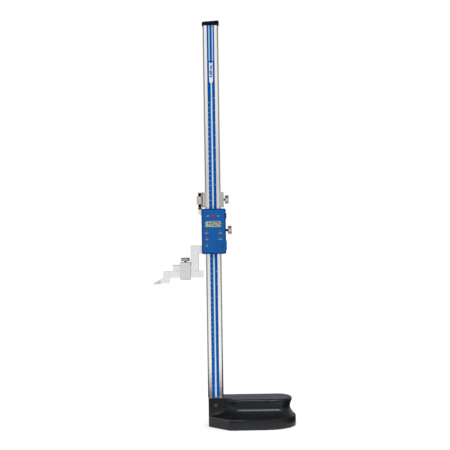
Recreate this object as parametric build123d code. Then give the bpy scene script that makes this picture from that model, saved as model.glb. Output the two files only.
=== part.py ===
from build123d import *
from dataclasses import astuple, dataclass
import os

# Digital height gauge, 600 mm: a flat beam stands on a heavy hand-grip base, a slider with a steel
# jaw and a digital display runs on the beam, and a clamp under the jaw's arm holds the scriber.
# Millimetres. +Z up. The origin is on the base's resting plane, under the middle of the beam.
# +X points to the tail of the base, the scriber is towards -X, and the scale faces -Y.

# ---------------------------------------------------------------- clearances
SLIDE_GAP = 0.1  # flat guide faces, each side
TURN_GAP = 0.05  # round running fits, on the radius
AIR_GAP = 0.3  # parts that pass each other without touching
DROP_IN_GAP = 0.1  # loose parts dropped into a pocket, each side

# ---------------------------------------------------------------- beam
BEAM_WIDTH = 32.0
BEAM_THICKNESS = 10.0
BEAM_TOP = 824.0
BEAM_EDGE_BAND = 3.0  # width of the bevel along each edge
BEAM_EDGE_DROP = 0.7  # how far that bevel falls away
STRIP_WIDTH = 15.3
STRIP_THICKNESS = 0.5
TENON_SHOULDER = 5.0  # the foot is narrower than the beam by this on each side
TENON_LENGTH = 33.5

# ---------------------------------------------------------------- base casting
BASE_HEIGHT = 58.0
PLINTH_HEIGHT = 20.5  # top of the upright sides
PLINTH_EDGE = 1.5  # height of the bevel above them
PLINTH_EDGE_SHARE = 0.93  # share of the cove's reach that is left above that bevel
PLINTH_FOOT_CHAMFER = 1.2
WAIST_DROP = 18.0  # from the top to the narrowest level of the finger groove
LIP_BAND = 5.0  # from the top to where the grip's lip is widest
LIP_ROUND = 3.5
NOSE_X = -15.0
NOSE_HALF = 13.0
NOSE_ROUND = 1.5
UNDERCUT_RIM = 11.0  # width of the ground rim that the base rests on
UNDERCUT_START_X = 30.0
UNDERCUT_DEPTH = 6.0
UNDERCUT_CORNER = 8.0
COVE_STEPS = 5

# ---------------------------------------------------------------- beam fasteners
COLUMN_SCREW_RADIUS = 2.5
COLUMN_SCREW_HEAD_RADIUS = 4.25
COLUMN_SCREW_HEAD = 5.0
COLUMN_SCREW_DROPS = (8.0, 24.0)  # below the top of the casting
COLUMN_SCREW_SEAT_Y = 11.0
SET_SCREW_RADIUS = 3.5
SET_SCREW_DROP = 14.3  # below the top of the casting
SET_SCREW_RECESS = 0.8
HEX_DEPTH = 2.5

# ---------------------------------------------------------------- cap
CAP_WIDTH = 35.0
CAP_DEPTH = 14.0
CAP_ROUND = 1.5
CAP_OVERLAP = 2.8  # how far the cap reaches down over the beam
CAP_ROOF = 6.5
CAP_SLOPE_DROP = 2.5  # the top falls towards the scriber's side by this
CAP_SCREW_RADIUS = 1.5
CAP_SCREW_HEAD_RADIUS = 2.8
CAP_SCREW_LENGTH = 10.0
CAP_SCREW_HEAD = 1.6
CAP_SCREW_X = 8.0
CAP_SCREW_FLOOR = 2.0

# ---------------------------------------------------------------- slider frame and jaw
DISPLAY_BOTTOM = 352.5
DISPLAY_WIDTH = 49.4
DISPLAY_HEIGHT = 92.4
DISPLAY_CENTRE_X = 1.1
DISPLAY_FRONT_Y = -20.0
FRAME_INSET = 1.5  # the frame is shorter than the display by this at each end
FRAME_LEFT_WALL = 5.8
FRAME_RIGHT_WALL = 7.9
FRAME_BACK_WALL = 4.4
FRAME_LIP = 3.4  # thickness of the front lips
FRAME_BACK_CHAMFER = 1.5
FRAME_LIP_REACH = 3.0  # how far they reach over the beam
FRAME_RELIEF = 0.6  # the back wall is eased between its two guide pads
FRAME_PAD_WIDTH = 7.0
JAW_THICKNESS = 9.0
JAW_BAR_HEIGHT = 15.5
JAW_REACH = 25.3  # from the frame's side to the jaw's outer side
JAW_LIMB_WIDTH = 16.2
JAW_CORNER = 2.0
JAW_INNER_CORNER = 4.0
JAW_EDGE = 0.6  # bevel round the outline of the jaw and arm
ARM_DROP = 36.0  # from the bottom of the frame to the arm's measuring face
ARM_HEIGHT = 12.3
ARM_REACH = 36.8  # how far the arm passes the jaw
GIB_THICKNESS = 2.0
GIB_WIDTH = 7.0
GIB_END_MARGIN = 3.0
GIB_SCREW_RADIUS = 1.5
GIB_SCREW_INSET = 18.0  # from each end of the frame
GIB_SCREW_SLOT = 0.6
HEAD_HEIGHT = 56.0
HEAD_PLUG = (10.0, 6.0)

# ---------------------------------------------------------------- fine adjustment
CARRIAGE_RISE = 2.9  # gap between the display and the carriage
CARRIAGE_HEIGHT = 30.9
CARRIAGE_LEFT_WALL = 3.5
CARRIAGE_RIGHT_WALL = 6.3
CARRIAGE_LIP = 2.4
CARRIAGE_GIB_THICKNESS = 1.8
FORK_REACH = 3.6  # from the rod's axis to the open ends of the fork
FORK_HALF_DEPTH = 6.0
NUT_RADIUS = 6.4
NUT_LENGTH = 17.0
NUT_SEAT = 6.2  # height of the fork's lower arm
NUT_EDGE = 0.8
ROD_OFFSET = 4.9  # from the frame's side to the rod's axis
ROD_RADIUS = 2.5
ROD_STAND = 37.6  # how far the rod rises above the frame
ROD_SEAT_DEPTH = 9.0
LUG_WALL = 1.2
LUG_HEIGHT = 13.4
LUG_HALF_DEPTH = 4.0
LUG_TAPER = 5.0
COLLAR_RADIUS = 3.8
COLLAR_HEIGHT = 3.6
FORK_SCREW_RADIUS = 1.0
FORK_SCREW_HEAD_RADIUS = 1.4
FORK_SCREW_HEAD = 0.9
FORK_SCREW_BITE = 3.0
FORK_SCREW_INSET = 2.2  # from the carriage's side

# ---------------------------------------------------------------- thumb screws
THUMB_RADIUS = 8.7
THUMB_LENGTH = 7.6
THUMB_EDGE = 0.8
THUMB_DISH_RADIUS = 5.0
THUMB_DISH_DEPTH = 0.6
SHANK_RADIUS = 2.5
SLIDER_LOCK_RISE = 48.1  # above the bottom of the display
SLIDER_LOCK_STAND = 6.0  # from the frame's side to the head
CARRIAGE_LOCK_STAND = 2.3

# ---------------------------------------------------------------- scriber and its clamp
SCRIBER_THICKNESS = 8.0
SCRIBER_HEIGHT = 13.4
SCRIBER_RIGHT_X = -21.3
SCRIBER_LENGTH = 83.0
SCRIBER_CORNER = 1.2
SCRIBER_LINE = 0.8  # width of the fine groove along each side
SCRIBER_LINE_DEPTH = 0.3
LEG_WIDTH = 13.7
LEG_DROP = 11.3
TIP_THICKNESS = 6.0
TIP_DROP = 12.8  # from the bar's underside to the scribing edge
TIP_REACH = 20.7  # from the bar's end to the point
TIP_JOINT_BACK = 4.7  # from the bar's end to the joint with the carbide
TIP_JOINT_SLANT = 1.5
TIP_RISE = 1.2  # height of the blunt end at the point
TIP_SHOULDER = 0.8  # the sloping back starts this far above the bar's underside
CLAMP_WIDTH = 21.8
CLAMP_SIDE_WALL = 4.0
CLAMP_FLOOR = 4.6
CLAMP_ROOF = 5.4
CLAMP_ROUND = 1.0
CLAMP_HEAD_STAND = 2.3
CLAMP_HEAD_LENGTH = 6.8
CLAMP_HEAD_RADIUS = 9.0

# ---------------------------------------------------------------- display housing
CASE_WALL = 2.4
CASE_CORNER = 3.0
CASE_BEVEL = 2.4
PANEL_THICKNESS = 0.3
BACK_PLATE_THICKNESS = 2.0
BOARD_THICKNESS = 1.6
BOARD_STANDOFF = 1.2
STANDOFF_RADIUS = 2.0
STANDOFF_PLACES = ((-15.0, 365.0), (17.0, 392.0), (-15.0, 425.0), (14.0, 434.0))
BOSS_RADIUS = 2.6
BOSS_INSET = 4.4
CASE_SCREW_RADIUS = 1.0
CASE_SCREW_HEAD_RADIUS = 1.8
CASE_SCREW_HEAD = 1.2
CASE_SCREW_BITE = 2.6
LCD_WIDTH = 32.6
LCD_HEIGHT = 12.2
LCD_CENTRE_Z = 413.5
LCD_BORDER = 3.0
LCD_CORNER = 0.8
LCD_THICKNESS = 1.6
CONNECTOR_WIDTH = 1.8
PANEL_MARGIN = 0.4
PANEL_CORNER = 1.0

# ---------------------------------------------------------------- keys
KEY_TRAVEL = 0.5
KEY_PROUD = 0.7
KEY_FLANGE = 0.6
KEY_FLANGE_THICKNESS = 0.8
POWER_KEY = (0.0, 429.7, 7.0, 4.0)  # x, z, width, height
SMALL_KEY_SIZE = (6.0, 2.9)
SMALL_KEY_PLACES = ((-13.2, 399.0), (-13.2, 386.0), (-13.2, 373.0), (14.3, 399.0), (14.3, 386.0))
SWITCH_SIZE = 3.0
KEY_GAP = 0.15
KEY_ROUNDNESS = 0.49  # corner radius as a share of the height

# ---------------------------------------------------------------- battery and covers
CELL_RADIUS = 8.0
CELL_THICKNESS = 3.2
CELL_X = 13.4
CELL_Z = 369.9
COVER_WIDTH = 21.4
COVER_HEIGHT = 19.6
COVER_THICKNESS = 1.6
COVER_TONGUE = 0.8
COVER_TAB = 1.5  # how far the cover stands past the display's side
COVER_TAB_DEPTH = 6.0
COVER_ROUND = 0.8
CONTACT_THICKNESS = 0.3
CONTACT_SIZE = (9.0, 4.0)
CLIP_HEIGHT = 6.0
CLIP_REACH = 2.5
PORT_CENTRE_Z = 430.0
PORT_Y = -15.4
PORT_FLANGE = (6.0, 11.6)  # depth along Y, height
PORT_FLANGE_OUT = 1.4
PORT_FLANGE_CHAMFER = 0.6
PORT_PLUG = (3.6, 8.6)
PORT_PLUG_LENGTH = 3.0
PORT_BLOCK_WIDTH = 7.0

# ---------------------------------------------------------------- derived places
HALF_BEAM = BEAM_WIDTH / 2
BEAM_FRONT = -BEAM_THICKNESS / 2
BEAM_BACK = BEAM_THICKNESS / 2
TENON_HALF = HALF_BEAM - TENON_SHOULDER
TENON_BOTTOM = BASE_HEIGHT - TENON_LENGTH
WAIST_HEIGHT = BASE_HEIGHT - WAIST_DROP
LIP_HEIGHT = BASE_HEIGHT - LIP_BAND
COLUMN_SCREW_HEIGHTS = [BASE_HEIGHT - drop for drop in COLUMN_SCREW_DROPS]
SET_SCREW_HEIGHT = BASE_HEIGHT - SET_SCREW_DROP

CAP_BOTTOM = BEAM_TOP - CAP_OVERLAP
CAP_TOP = BEAM_TOP + CAP_ROOF
CAP_SCREW_SEAT = BEAM_TOP + CAP_SCREW_FLOOR

FRAME_BOTTOM = DISPLAY_BOTTOM + FRAME_INSET
FRAME_TOP = DISPLAY_BOTTOM + DISPLAY_HEIGHT - FRAME_INSET
FRAME_LEFT_X = -HALF_BEAM - SLIDE_GAP - FRAME_LEFT_WALL
FRAME_RIGHT_X = HALF_BEAM + SLIDE_GAP + FRAME_RIGHT_WALL
FRAME_FRONT_Y = BEAM_FRONT - SLIDE_GAP - FRAME_LIP
FRAME_BACK_Y = BEAM_BACK + SLIDE_GAP + FRAME_BACK_WALL
LIP_EDGE_X = HALF_BEAM - FRAME_LIP_REACH
GIB_FACE_X = HALF_BEAM + SLIDE_GAP
GIB_SCREW_HEIGHTS = (FRAME_BOTTOM + GIB_SCREW_INSET, FRAME_TOP - GIB_SCREW_INSET)

JAW_LEFT_X = FRAME_LEFT_X - JAW_REACH
JAW_INNER_X = JAW_LEFT_X + JAW_LIMB_WIDTH
ARM_BOTTOM = FRAME_BOTTOM - ARM_DROP
ARM_TOP = ARM_BOTTOM + ARM_HEIGHT
ARM_END_X = JAW_LEFT_X - ARM_REACH

DISPLAY_TOP = DISPLAY_BOTTOM + DISPLAY_HEIGHT
DISPLAY_LEFT_X = DISPLAY_CENTRE_X - DISPLAY_WIDTH / 2
DISPLAY_RIGHT_X = DISPLAY_CENTRE_X + DISPLAY_WIDTH / 2
DISPLAY_CENTRE_Z = DISPLAY_BOTTOM + DISPLAY_HEIGHT / 2
CASE_FRONT_Y = DISPLAY_FRONT_Y + PANEL_THICKNESS
CASE_INNER_Y = CASE_FRONT_Y + CASE_WALL
BACK_PLATE_Y = FRAME_FRONT_Y - BACK_PLATE_THICKNESS
BOARD_BACK_Y = BACK_PLATE_Y - BOARD_STANDOFF
BOARD_FRONT_Y = BOARD_BACK_Y - BOARD_THICKNESS
LCD_BACK_Y = CASE_INNER_Y + LCD_THICKNESS
BOSS_PLACES = [
    (x, z)
    for x in (DISPLAY_LEFT_X + BOSS_INSET, DISPLAY_RIGHT_X - BOSS_INSET)
    for z in (DISPLAY_BOTTOM + BOSS_INSET, DISPLAY_TOP - BOSS_INSET)
]
SMALL_KEYS = [(x, z, *SMALL_KEY_SIZE) for x, z in SMALL_KEY_PLACES]
KEY_BACK_Y = CASE_INNER_Y + KEY_FLANGE_THICKNESS
CELL_BACK_Y = BOARD_FRONT_Y - CONTACT_THICKNESS
CELL_FRONT_Y = CELL_BACK_Y - CELL_THICKNESS
COVER_LEFT_X = DISPLAY_RIGHT_X - COVER_WIDTH
COVER_BACK_Y = CASE_FRONT_Y + COVER_THICKNESS
SLIDER_LOCK_Z = DISPLAY_BOTTOM + SLIDER_LOCK_RISE

ROD_X = FRAME_LEFT_X - ROD_OFFSET
ROD_TOP = FRAME_TOP + ROD_STAND
CARRIAGE_BOTTOM = DISPLAY_TOP + CARRIAGE_RISE
CARRIAGE_TOP = CARRIAGE_BOTTOM + CARRIAGE_HEIGHT
CARRIAGE_MIDDLE = (CARRIAGE_BOTTOM + CARRIAGE_TOP) / 2
CARRIAGE_LEFT_X = -HALF_BEAM - SLIDE_GAP - CARRIAGE_LEFT_WALL
CARRIAGE_RIGHT_X = HALF_BEAM + SLIDE_GAP + CARRIAGE_RIGHT_WALL
CARRIAGE_FRONT_Y = BEAM_FRONT - SLIDE_GAP - CARRIAGE_LIP
FORK_END_X = ROD_X - FORK_REACH
NUT_BOTTOM = CARRIAGE_BOTTOM + NUT_SEAT
NUT_TOP = NUT_BOTTOM + NUT_LENGTH
FORK_SCREW_X = CARRIAGE_LEFT_X - FORK_SCREW_INSET
FORK_SCREW_HEIGHTS = ((CARRIAGE_BOTTOM + NUT_BOTTOM) / 2, (NUT_TOP + CARRIAGE_TOP) / 2)

SCRIBER_TOP = ARM_BOTTOM - SLIDE_GAP
SCRIBER_BOTTOM = SCRIBER_TOP - SCRIBER_HEIGHT
SCRIBER_LEFT_X = SCRIBER_RIGHT_X - SCRIBER_LENGTH
CLAMP_RIGHT_X = JAW_LEFT_X - AIR_GAP
CLAMP_LEFT_X = CLAMP_RIGHT_X - CLAMP_WIDTH
CLAMP_SCREW_X = (CLAMP_LEFT_X + CLAMP_RIGHT_X) / 2
CLAMP_CAVITY_HALF = max(JAW_THICKNESS, SCRIBER_THICKNESS) / 2 + SLIDE_GAP
CLAMP_BOTTOM = SCRIBER_BOTTOM - SLIDE_GAP - CLAMP_FLOOR
CLAMP_TOP = ARM_TOP + AIR_GAP + CLAMP_ROOF


# ---------------------------------------------------------------- helpers
def block(x, y, z):
    """A box from its low and high bound along each axis."""
    middle = Pos((x[0] + x[1]) / 2, (y[0] + y[1]) / 2, (z[0] + z[1]) / 2)
    return middle * Box(x[1] - x[0], y[1] - y[0], z[1] - z[0])


def rod_x(radius, x, y, z):
    return Pos((x[0] + x[1]) / 2, y, z) * Rot(0, 90, 0) * Cylinder(radius, x[1] - x[0])


def rod_y(radius, x, y, z):
    return Pos(x, (y[0] + y[1]) / 2, z) * Rot(90, 0, 0) * Cylinder(radius, y[1] - y[0])


def rod_z(radius, x, y, z):
    return Pos(x, y, (z[0] + z[1]) / 2) * Cylinder(radius, z[1] - z[0])


def slab(sketch_at_origin, z):
    """An XY sketch stood up from z[0] to z[1]."""
    return Pos(0, 0, z[0]) * extrude(sketch_at_origin, z[1] - z[0])


def side_plate(points, y):
    """A plate whose outline is drawn in X and Z, between two values of Y."""
    outline = Plane.XZ * make_face(Polyline(*points, close=True))
    return Pos(0, y[1], 0) * extrude(outline, y[1] - y[0])


def front_pad(x, z, width, height, y, corner):
    """A rounded rectangle seen from the front, between two values of Y."""
    outline = Plane.XZ * Pos(x, z) * RectangleRounded(width, height, corner)
    return Pos(0, y[1], 0) * extrude(outline, y[1] - y[0])


# ---------------------------------------------------------------- base
@dataclass
class Plan:
    """A horizontal section of the casting: square nose, flared shoulders, half-ellipse tail."""

    half_width: float
    near_flare_x: float
    near_flare_y: float
    near_shoulder_x: float
    far_flare_x: float
    far_flare_y: float
    far_shoulder_x: float
    tail_x: float
    tail_length: float
    shoulder_round: float

    def toward(self, other, share):
        return Plan(*(a + (b - a) * share for a, b in zip(astuple(self), astuple(other))))

    def face(self, z):
        near_shoulder = (self.near_shoulder_x, -self.half_width)
        far_shoulder = (self.far_shoulder_x, self.half_width)
        sides = Polyline(
            (self.tail_x, self.half_width),
            far_shoulder,
            (self.far_flare_x, self.far_flare_y),
            (NOSE_X, NOSE_HALF),
            (NOSE_X, -NOSE_HALF),
            (self.near_flare_x, -self.near_flare_y),
            near_shoulder,
            (self.tail_x, -self.half_width),
        )
        tail = EllipticalCenterArc((self.tail_x, 0), self.tail_length, self.half_width, -90, arc_size=180)
        flat = make_face(sides + tail)
        shoulders = [
            v
            for v in flat.vertices()
            if abs(v.X - near_shoulder[0]) + abs(v.Y - near_shoulder[1]) < 0.01
            or abs(v.X - far_shoulder[0]) + abs(v.Y - far_shoulder[1]) < 0.01
        ]
        flat = fillet(shoulders, self.shoulder_round)
        nose = flat.vertices().filter_by(lambda v: abs(v.X - NOSE_X) < 0.01)
        return Pos(0, 0, z) * fillet(nose, NOSE_ROUND)


PLINTH = Plan(50.0, -10.8, 16.7, 27.0, -10.8, 16.7, 27.0, 98.5, 65.0, 6.0)
GRIP = Plan(32.0, 19.0, NOSE_HALF, 37.0, -8.0, NOSE_HALF, 10.0, 128.0, 28.0, 12.0)
WAIST = Plan(28.0, 24.0, NOSE_HALF, 42.0, -4.0, NOSE_HALF, 14.0, 128.0, 23.8, 10.0)


def base_casting():
    plinth = slab(PLINTH.face(0), (0, PLINTH_HEIGHT))
    plinth = chamfer(plinth.faces().sort_by(Axis.Z)[0].edges(), PLINTH_FOOT_CHAMFER)

    edge_top = PLINTH_HEIGHT + PLINTH_EDGE
    shoulder = WAIST.toward(PLINTH, PLINTH_EDGE_SHARE)
    bevel = loft([PLINTH.face(PLINTH_HEIGHT), shoulder.face(edge_top)], ruled=True)

    steps = [n / COVE_STEPS for n in range(COVE_STEPS + 1)]
    cove = loft(
        [
            WAIST.toward(shoulder, (1 - t) ** 2).face(edge_top + t * (WAIST_HEIGHT - edge_top))
            for t in steps
        ]
    )
    groove = loft(
        [
            WAIST.toward(GRIP, t**1.5).face(WAIST_HEIGHT + t * (LIP_HEIGHT - WAIST_HEIGHT))
            for t in steps
        ]
    )
    lip = slab(GRIP.face(0), (LIP_HEIGHT, BASE_HEIGHT))
    rim_edges = [
        e
        for e in lip.faces().sort_by(Axis.Z)[-1].edges()
        if e.center().X > GRIP.far_flare_x and abs(e.center().Y) > NOSE_HALF + 0.01
    ]
    lip = fillet(rim_edges, LIP_ROUND)
    body = plinth + bevel + cove + groove + lip

    socket = block(
        (-TENON_HALF - TURN_GAP, TENON_HALF + TURN_GAP),
        (BEAM_FRONT - TURN_GAP, BEAM_BACK + TURN_GAP),
        (TENON_BOTTOM, BASE_HEIGHT + 1),
    )
    body -= socket
    for z in COLUMN_SCREW_HEIGHTS:
        body -= rod_y(COLUMN_SCREW_RADIUS + TURN_GAP, 0, (BEAM_BACK, COLUMN_SCREW_SEAT_Y), z)
        body -= rod_y(
            COLUMN_SCREW_HEAD_RADIUS + AIR_GAP, 0, (COLUMN_SCREW_SEAT_Y, GRIP.half_width), z
        )
    body -= rod_y(
        SET_SCREW_RADIUS + TURN_GAP, 0, (-NOSE_HALF - 1, BEAM_FRONT), SET_SCREW_HEIGHT
    )

    return body - undercut()


def undercut():
    """The hollow under the casting, which leaves a rim and a solid nose to stand on."""
    half = PLINTH.half_width - UNDERCUT_RIM
    sides = Polyline(
        (PLINTH.tail_x, half),
        (UNDERCUT_START_X, half),
        (UNDERCUT_START_X, -half),
        (PLINTH.tail_x, -half),
    )
    tail_length = PLINTH.tail_length - UNDERCUT_RIM
    tail = EllipticalCenterArc((PLINTH.tail_x, 0), tail_length, half, -90, arc_size=180)
    hollow = slab(make_face(sides + tail), (-1, UNDERCUT_DEPTH))
    return fillet(hollow.edges().filter_by(Axis.Z).sort_by(Axis.X)[:2], UNDERCUT_CORNER)


def beam():
    edge = HALF_BEAM - BEAM_EDGE_BAND
    groove = STRIP_WIDTH / 2
    low = BEAM_THICKNESS / 2 - BEAM_EDGE_DROP
    front = BEAM_FRONT
    outline = Polyline(
        (-HALF_BEAM, -low),
        (-edge, front),
        (-groove, front),
        (-groove, front + STRIP_THICKNESS),
        (groove, front + STRIP_THICKNESS),
        (groove, front),
        (edge, front),
        (HALF_BEAM, -low),
        (HALF_BEAM, low),
        (edge, BEAM_BACK),
        (-edge, BEAM_BACK),
        (-HALF_BEAM, low),
        close=True,
    )
    body = slab(make_face(outline), (BASE_HEIGHT, BEAM_TOP))
    body += block((-TENON_HALF, TENON_HALF), (BEAM_FRONT, BEAM_BACK), (TENON_BOTTOM, BASE_HEIGHT))
    for z in COLUMN_SCREW_HEIGHTS:
        body -= rod_y(COLUMN_SCREW_RADIUS + TURN_GAP, 0, (BEAM_FRONT - 1, BEAM_BACK + 1), z)
    for x in (-CAP_SCREW_X, CAP_SCREW_X):
        body -= rod_z(CAP_SCREW_RADIUS + TURN_GAP, x, 0, (BEAM_TOP - CAP_SCREW_LENGTH, BEAM_TOP))
    return body


def scale_strip():
    depth = (BEAM_FRONT, BEAM_FRONT + STRIP_THICKNESS)
    return block((-STRIP_WIDTH / 2, STRIP_WIDTH / 2), depth, (BASE_HEIGHT + AIR_GAP, BEAM_TOP))


def column_screws():
    """Two socket screws through the casting's back into the beam's foot."""
    head_end = COLUMN_SCREW_SEAT_Y + COLUMN_SCREW_HEAD
    screws = []
    for z in COLUMN_SCREW_HEIGHTS:
        screw = rod_y(COLUMN_SCREW_RADIUS, 0, (BEAM_FRONT + 1, COLUMN_SCREW_SEAT_Y), z)
        screw += rod_y(COLUMN_SCREW_HEAD_RADIUS, 0, (COLUMN_SCREW_SEAT_Y, head_end), z)
        screws.append(screw - hex_socket(COLUMN_SCREW_RADIUS, z, (head_end - HEX_DEPTH, head_end)))
    return Compound(screws)


def beam_set_screw():
    front = -NOSE_HALF + SET_SCREW_RECESS
    screw = rod_y(SET_SCREW_RADIUS, 0, (front, BEAM_FRONT), SET_SCREW_HEIGHT)
    return screw - hex_socket(SET_SCREW_RADIUS / 2, SET_SCREW_HEIGHT, (front, front + HEX_DEPTH))


def hex_socket(radius, z, y):
    outline = Plane.XZ * Pos(0, z) * RegularPolygon(radius, 6)
    return Pos(0, y[1], 0) * extrude(outline, y[1] - y[0])


def beam_cap():
    half = CAP_WIDTH / 2
    corners = ((-half, CAP_BOTTOM), (half, CAP_BOTTOM), (half, CAP_TOP))
    body = side_plate((*corners, (-half, CAP_TOP - CAP_SLOPE_DROP)), (-CAP_DEPTH / 2, CAP_DEPTH / 2))
    body = fillet(body.edges().filter_by(Axis.Z), CAP_ROUND)
    body -= block(
        (-HALF_BEAM - TURN_GAP, HALF_BEAM + TURN_GAP),
        (BEAM_FRONT - TURN_GAP, BEAM_BACK + TURN_GAP),
        (CAP_BOTTOM - 1, BEAM_TOP),
    )
    for x in (-CAP_SCREW_X, CAP_SCREW_X):
        body -= rod_z(CAP_SCREW_RADIUS + TURN_GAP, x, 0, (BEAM_TOP, CAP_TOP))
        body -= rod_z(CAP_SCREW_HEAD_RADIUS + DROP_IN_GAP, x, 0, (CAP_SCREW_SEAT, CAP_TOP + 1))
    return body


def cap_screws():
    screws = []
    for x in (-CAP_SCREW_X, CAP_SCREW_X):
        bottom = BEAM_TOP - CAP_SCREW_LENGTH + 1
        screw = rod_z(CAP_SCREW_RADIUS, x, 0, (bottom, CAP_SCREW_SEAT))
        screw += rod_z(
            CAP_SCREW_HEAD_RADIUS, x, 0, (CAP_SCREW_SEAT, CAP_SCREW_SEAT + CAP_SCREW_HEAD)
        )
        screws.append(screw)
    return Compound(screws)


# ---------------------------------------------------------------- slider
def guide_channel(z, lip_edge, front_y):
    """The space that the beam runs in, with the gap between the front lips."""
    reach = HALF_BEAM + SLIDE_GAP
    depth = (BEAM_FRONT - SLIDE_GAP, BEAM_BACK + SLIDE_GAP)
    around = (z[0] - 1, z[1] + 1)
    return block((-reach, reach), depth, around) + block(
        (-lip_edge, lip_edge), (front_y - 1, BEAM_FRONT), around
    )


def gib_bounds(z, thickness, gap=0.0):
    """Where a gib lies between the beam's edge and the right wall, or its pocket with a gap."""
    x = (GIB_FACE_X if not gap else 0, GIB_FACE_X + thickness + gap)
    half = GIB_WIDTH / 2 + gap
    return x, (-half, half), (z[0] + GIB_END_MARGIN - gap, z[1] - GIB_END_MARGIN + gap)


def slider_frame():
    """The channel round the beam, the jaw with its arm and the lug for the rod, in one piece."""
    z = (FRAME_BOTTOM, FRAME_TOP)
    body = block((FRAME_LEFT_X, FRAME_RIGHT_X), (FRAME_FRONT_Y, FRAME_BACK_Y), z)
    body = chamfer(body.edges().filter_by(Axis.Z).group_by(Axis.Y)[-1], FRAME_BACK_CHAMFER)

    jaw = side_plate(
        (
            (FRAME_LEFT_X + 1, FRAME_BOTTOM),
            (JAW_INNER_X, FRAME_BOTTOM),
            (JAW_INNER_X, ARM_BOTTOM),
            (ARM_END_X, ARM_BOTTOM),
            (ARM_END_X, ARM_TOP),
            (JAW_LEFT_X, ARM_TOP),
            (JAW_LEFT_X, FRAME_BOTTOM + JAW_BAR_HEIGHT),
            (FRAME_LEFT_X + 1, FRAME_BOTTOM + JAW_BAR_HEIGHT),
        ),
        (-JAW_THICKNESS / 2, JAW_THICKNESS / 2),
    )
    across = jaw.edges().filter_by(Axis.Y)
    inner = across.filter_by(lambda e: near(e, JAW_INNER_X, FRAME_BOTTOM))
    jaw = fillet(inner, JAW_INNER_CORNER)
    outer = jaw.edges().filter_by(Axis.Y).filter_by(
        lambda e: near(e, JAW_LEFT_X, FRAME_BOTTOM + JAW_BAR_HEIGHT)
    )
    jaw = fillet(outer, JAW_CORNER)
    jaw = chamfer(jaw.faces().filter_by(Axis.Y).edges(), JAW_EDGE)

    lug_end = ROD_X - ROD_RADIUS - LUG_WALL
    lug = side_plate(
        (
            (FRAME_LEFT_X + 1, FRAME_TOP - LUG_HEIGHT),
            (FRAME_LEFT_X + 1, FRAME_TOP),
            (lug_end, FRAME_TOP),
            (lug_end, FRAME_TOP - LUG_HEIGHT + LUG_TAPER),
            (FRAME_LEFT_X, FRAME_TOP - LUG_HEIGHT),
        ),
        (-LUG_HALF_DEPTH, LUG_HALF_DEPTH),
    )
    body = body + jaw + lug

    body -= guide_channel(z, LIP_EDGE_X, FRAME_FRONT_Y)
    pad_edge = HALF_BEAM - FRAME_PAD_WIDTH
    body -= block(
        (-pad_edge, pad_edge), (0, BEAM_BACK + SLIDE_GAP + FRAME_RELIEF), (z[0] - 1, z[1] + 1)
    )
    body -= block(*gib_bounds(z, GIB_THICKNESS, DROP_IN_GAP))
    side = (GIB_FACE_X, FRAME_RIGHT_X + 1)
    body -= rod_x(SHANK_RADIUS + TURN_GAP, side, 0, SLIDER_LOCK_Z)
    for height in GIB_SCREW_HEIGHTS:
        body -= rod_x(GIB_SCREW_RADIUS + TURN_GAP, side, 0, height)
    body -= rod_z(ROD_RADIUS + TURN_GAP, ROD_X, 0, (FRAME_TOP - ROD_SEAT_DEPTH, FRAME_TOP + 1))
    bite = (FRAME_FRONT_Y - 1, FRAME_FRONT_Y + CASE_SCREW_BITE)
    for x, height in BOSS_PLACES:
        body -= rod_y(CASE_SCREW_RADIUS + TURN_GAP, x, bite, height)
    return body


def near(edge, x, z):
    return abs(edge.center().X - x) < 0.01 and abs(edge.center().Z - z) < 0.01


def slider_gib():
    return block(*gib_bounds((FRAME_BOTTOM, FRAME_TOP), GIB_THICKNESS))


def gib_screws():
    """Two slotted grub screws that set the gib."""
    inner = GIB_FACE_X + GIB_THICKNESS
    outer = FRAME_RIGHT_X - GIB_SCREW_SLOT
    screws = []
    for z in GIB_SCREW_HEIGHTS:
        screw = rod_x(GIB_SCREW_RADIUS, (inner, outer), 0, z)
        slot = block(
            (outer - GIB_SCREW_SLOT, outer),
            (-GIB_SCREW_RADIUS, GIB_SCREW_RADIUS),
            (z - GIB_SCREW_SLOT / 2, z + GIB_SCREW_SLOT / 2),
        )
        screws.append(screw - slot)
    return Compound(screws)


def threaded_rod():
    return rod_z(ROD_RADIUS, ROD_X, 0, (FRAME_TOP - ROD_SEAT_DEPTH, ROD_TOP))


def rod_collar():
    collar = rod_z(COLLAR_RADIUS, ROD_X, 0, (FRAME_TOP, FRAME_TOP + COLLAR_HEIGHT))
    bore = rod_z(ROD_RADIUS + TURN_GAP, ROD_X, 0, (FRAME_TOP, FRAME_TOP + COLLAR_HEIGHT))
    return collar - bore


def thumb_screw(radius, length, shank):
    """A knurled head on Z from 0 to its length, with the shank below it."""
    profile = Polyline(
        (0, -shank),
        (SHANK_RADIUS, -shank),
        (SHANK_RADIUS, 0),
        (radius - THUMB_EDGE, 0),
        (radius, THUMB_EDGE),
        (radius, length - THUMB_EDGE),
        (radius - THUMB_EDGE, length),
        (THUMB_DISH_RADIUS, length),
        (THUMB_DISH_RADIUS, length - THUMB_DISH_DEPTH),
        (0, length - THUMB_DISH_DEPTH),
        close=True,
    )
    return revolve(Plane.XZ * make_face(profile), Axis.Z)


def slider_lock_screw():
    head_x = FRAME_RIGHT_X + SLIDER_LOCK_STAND
    shank = head_x - (GIB_FACE_X + GIB_THICKNESS + AIR_GAP)
    return Pos(head_x, 0, SLIDER_LOCK_Z) * Rot(0, 90, 0) * thumb_screw(THUMB_RADIUS, THUMB_LENGTH, shank)


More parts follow.
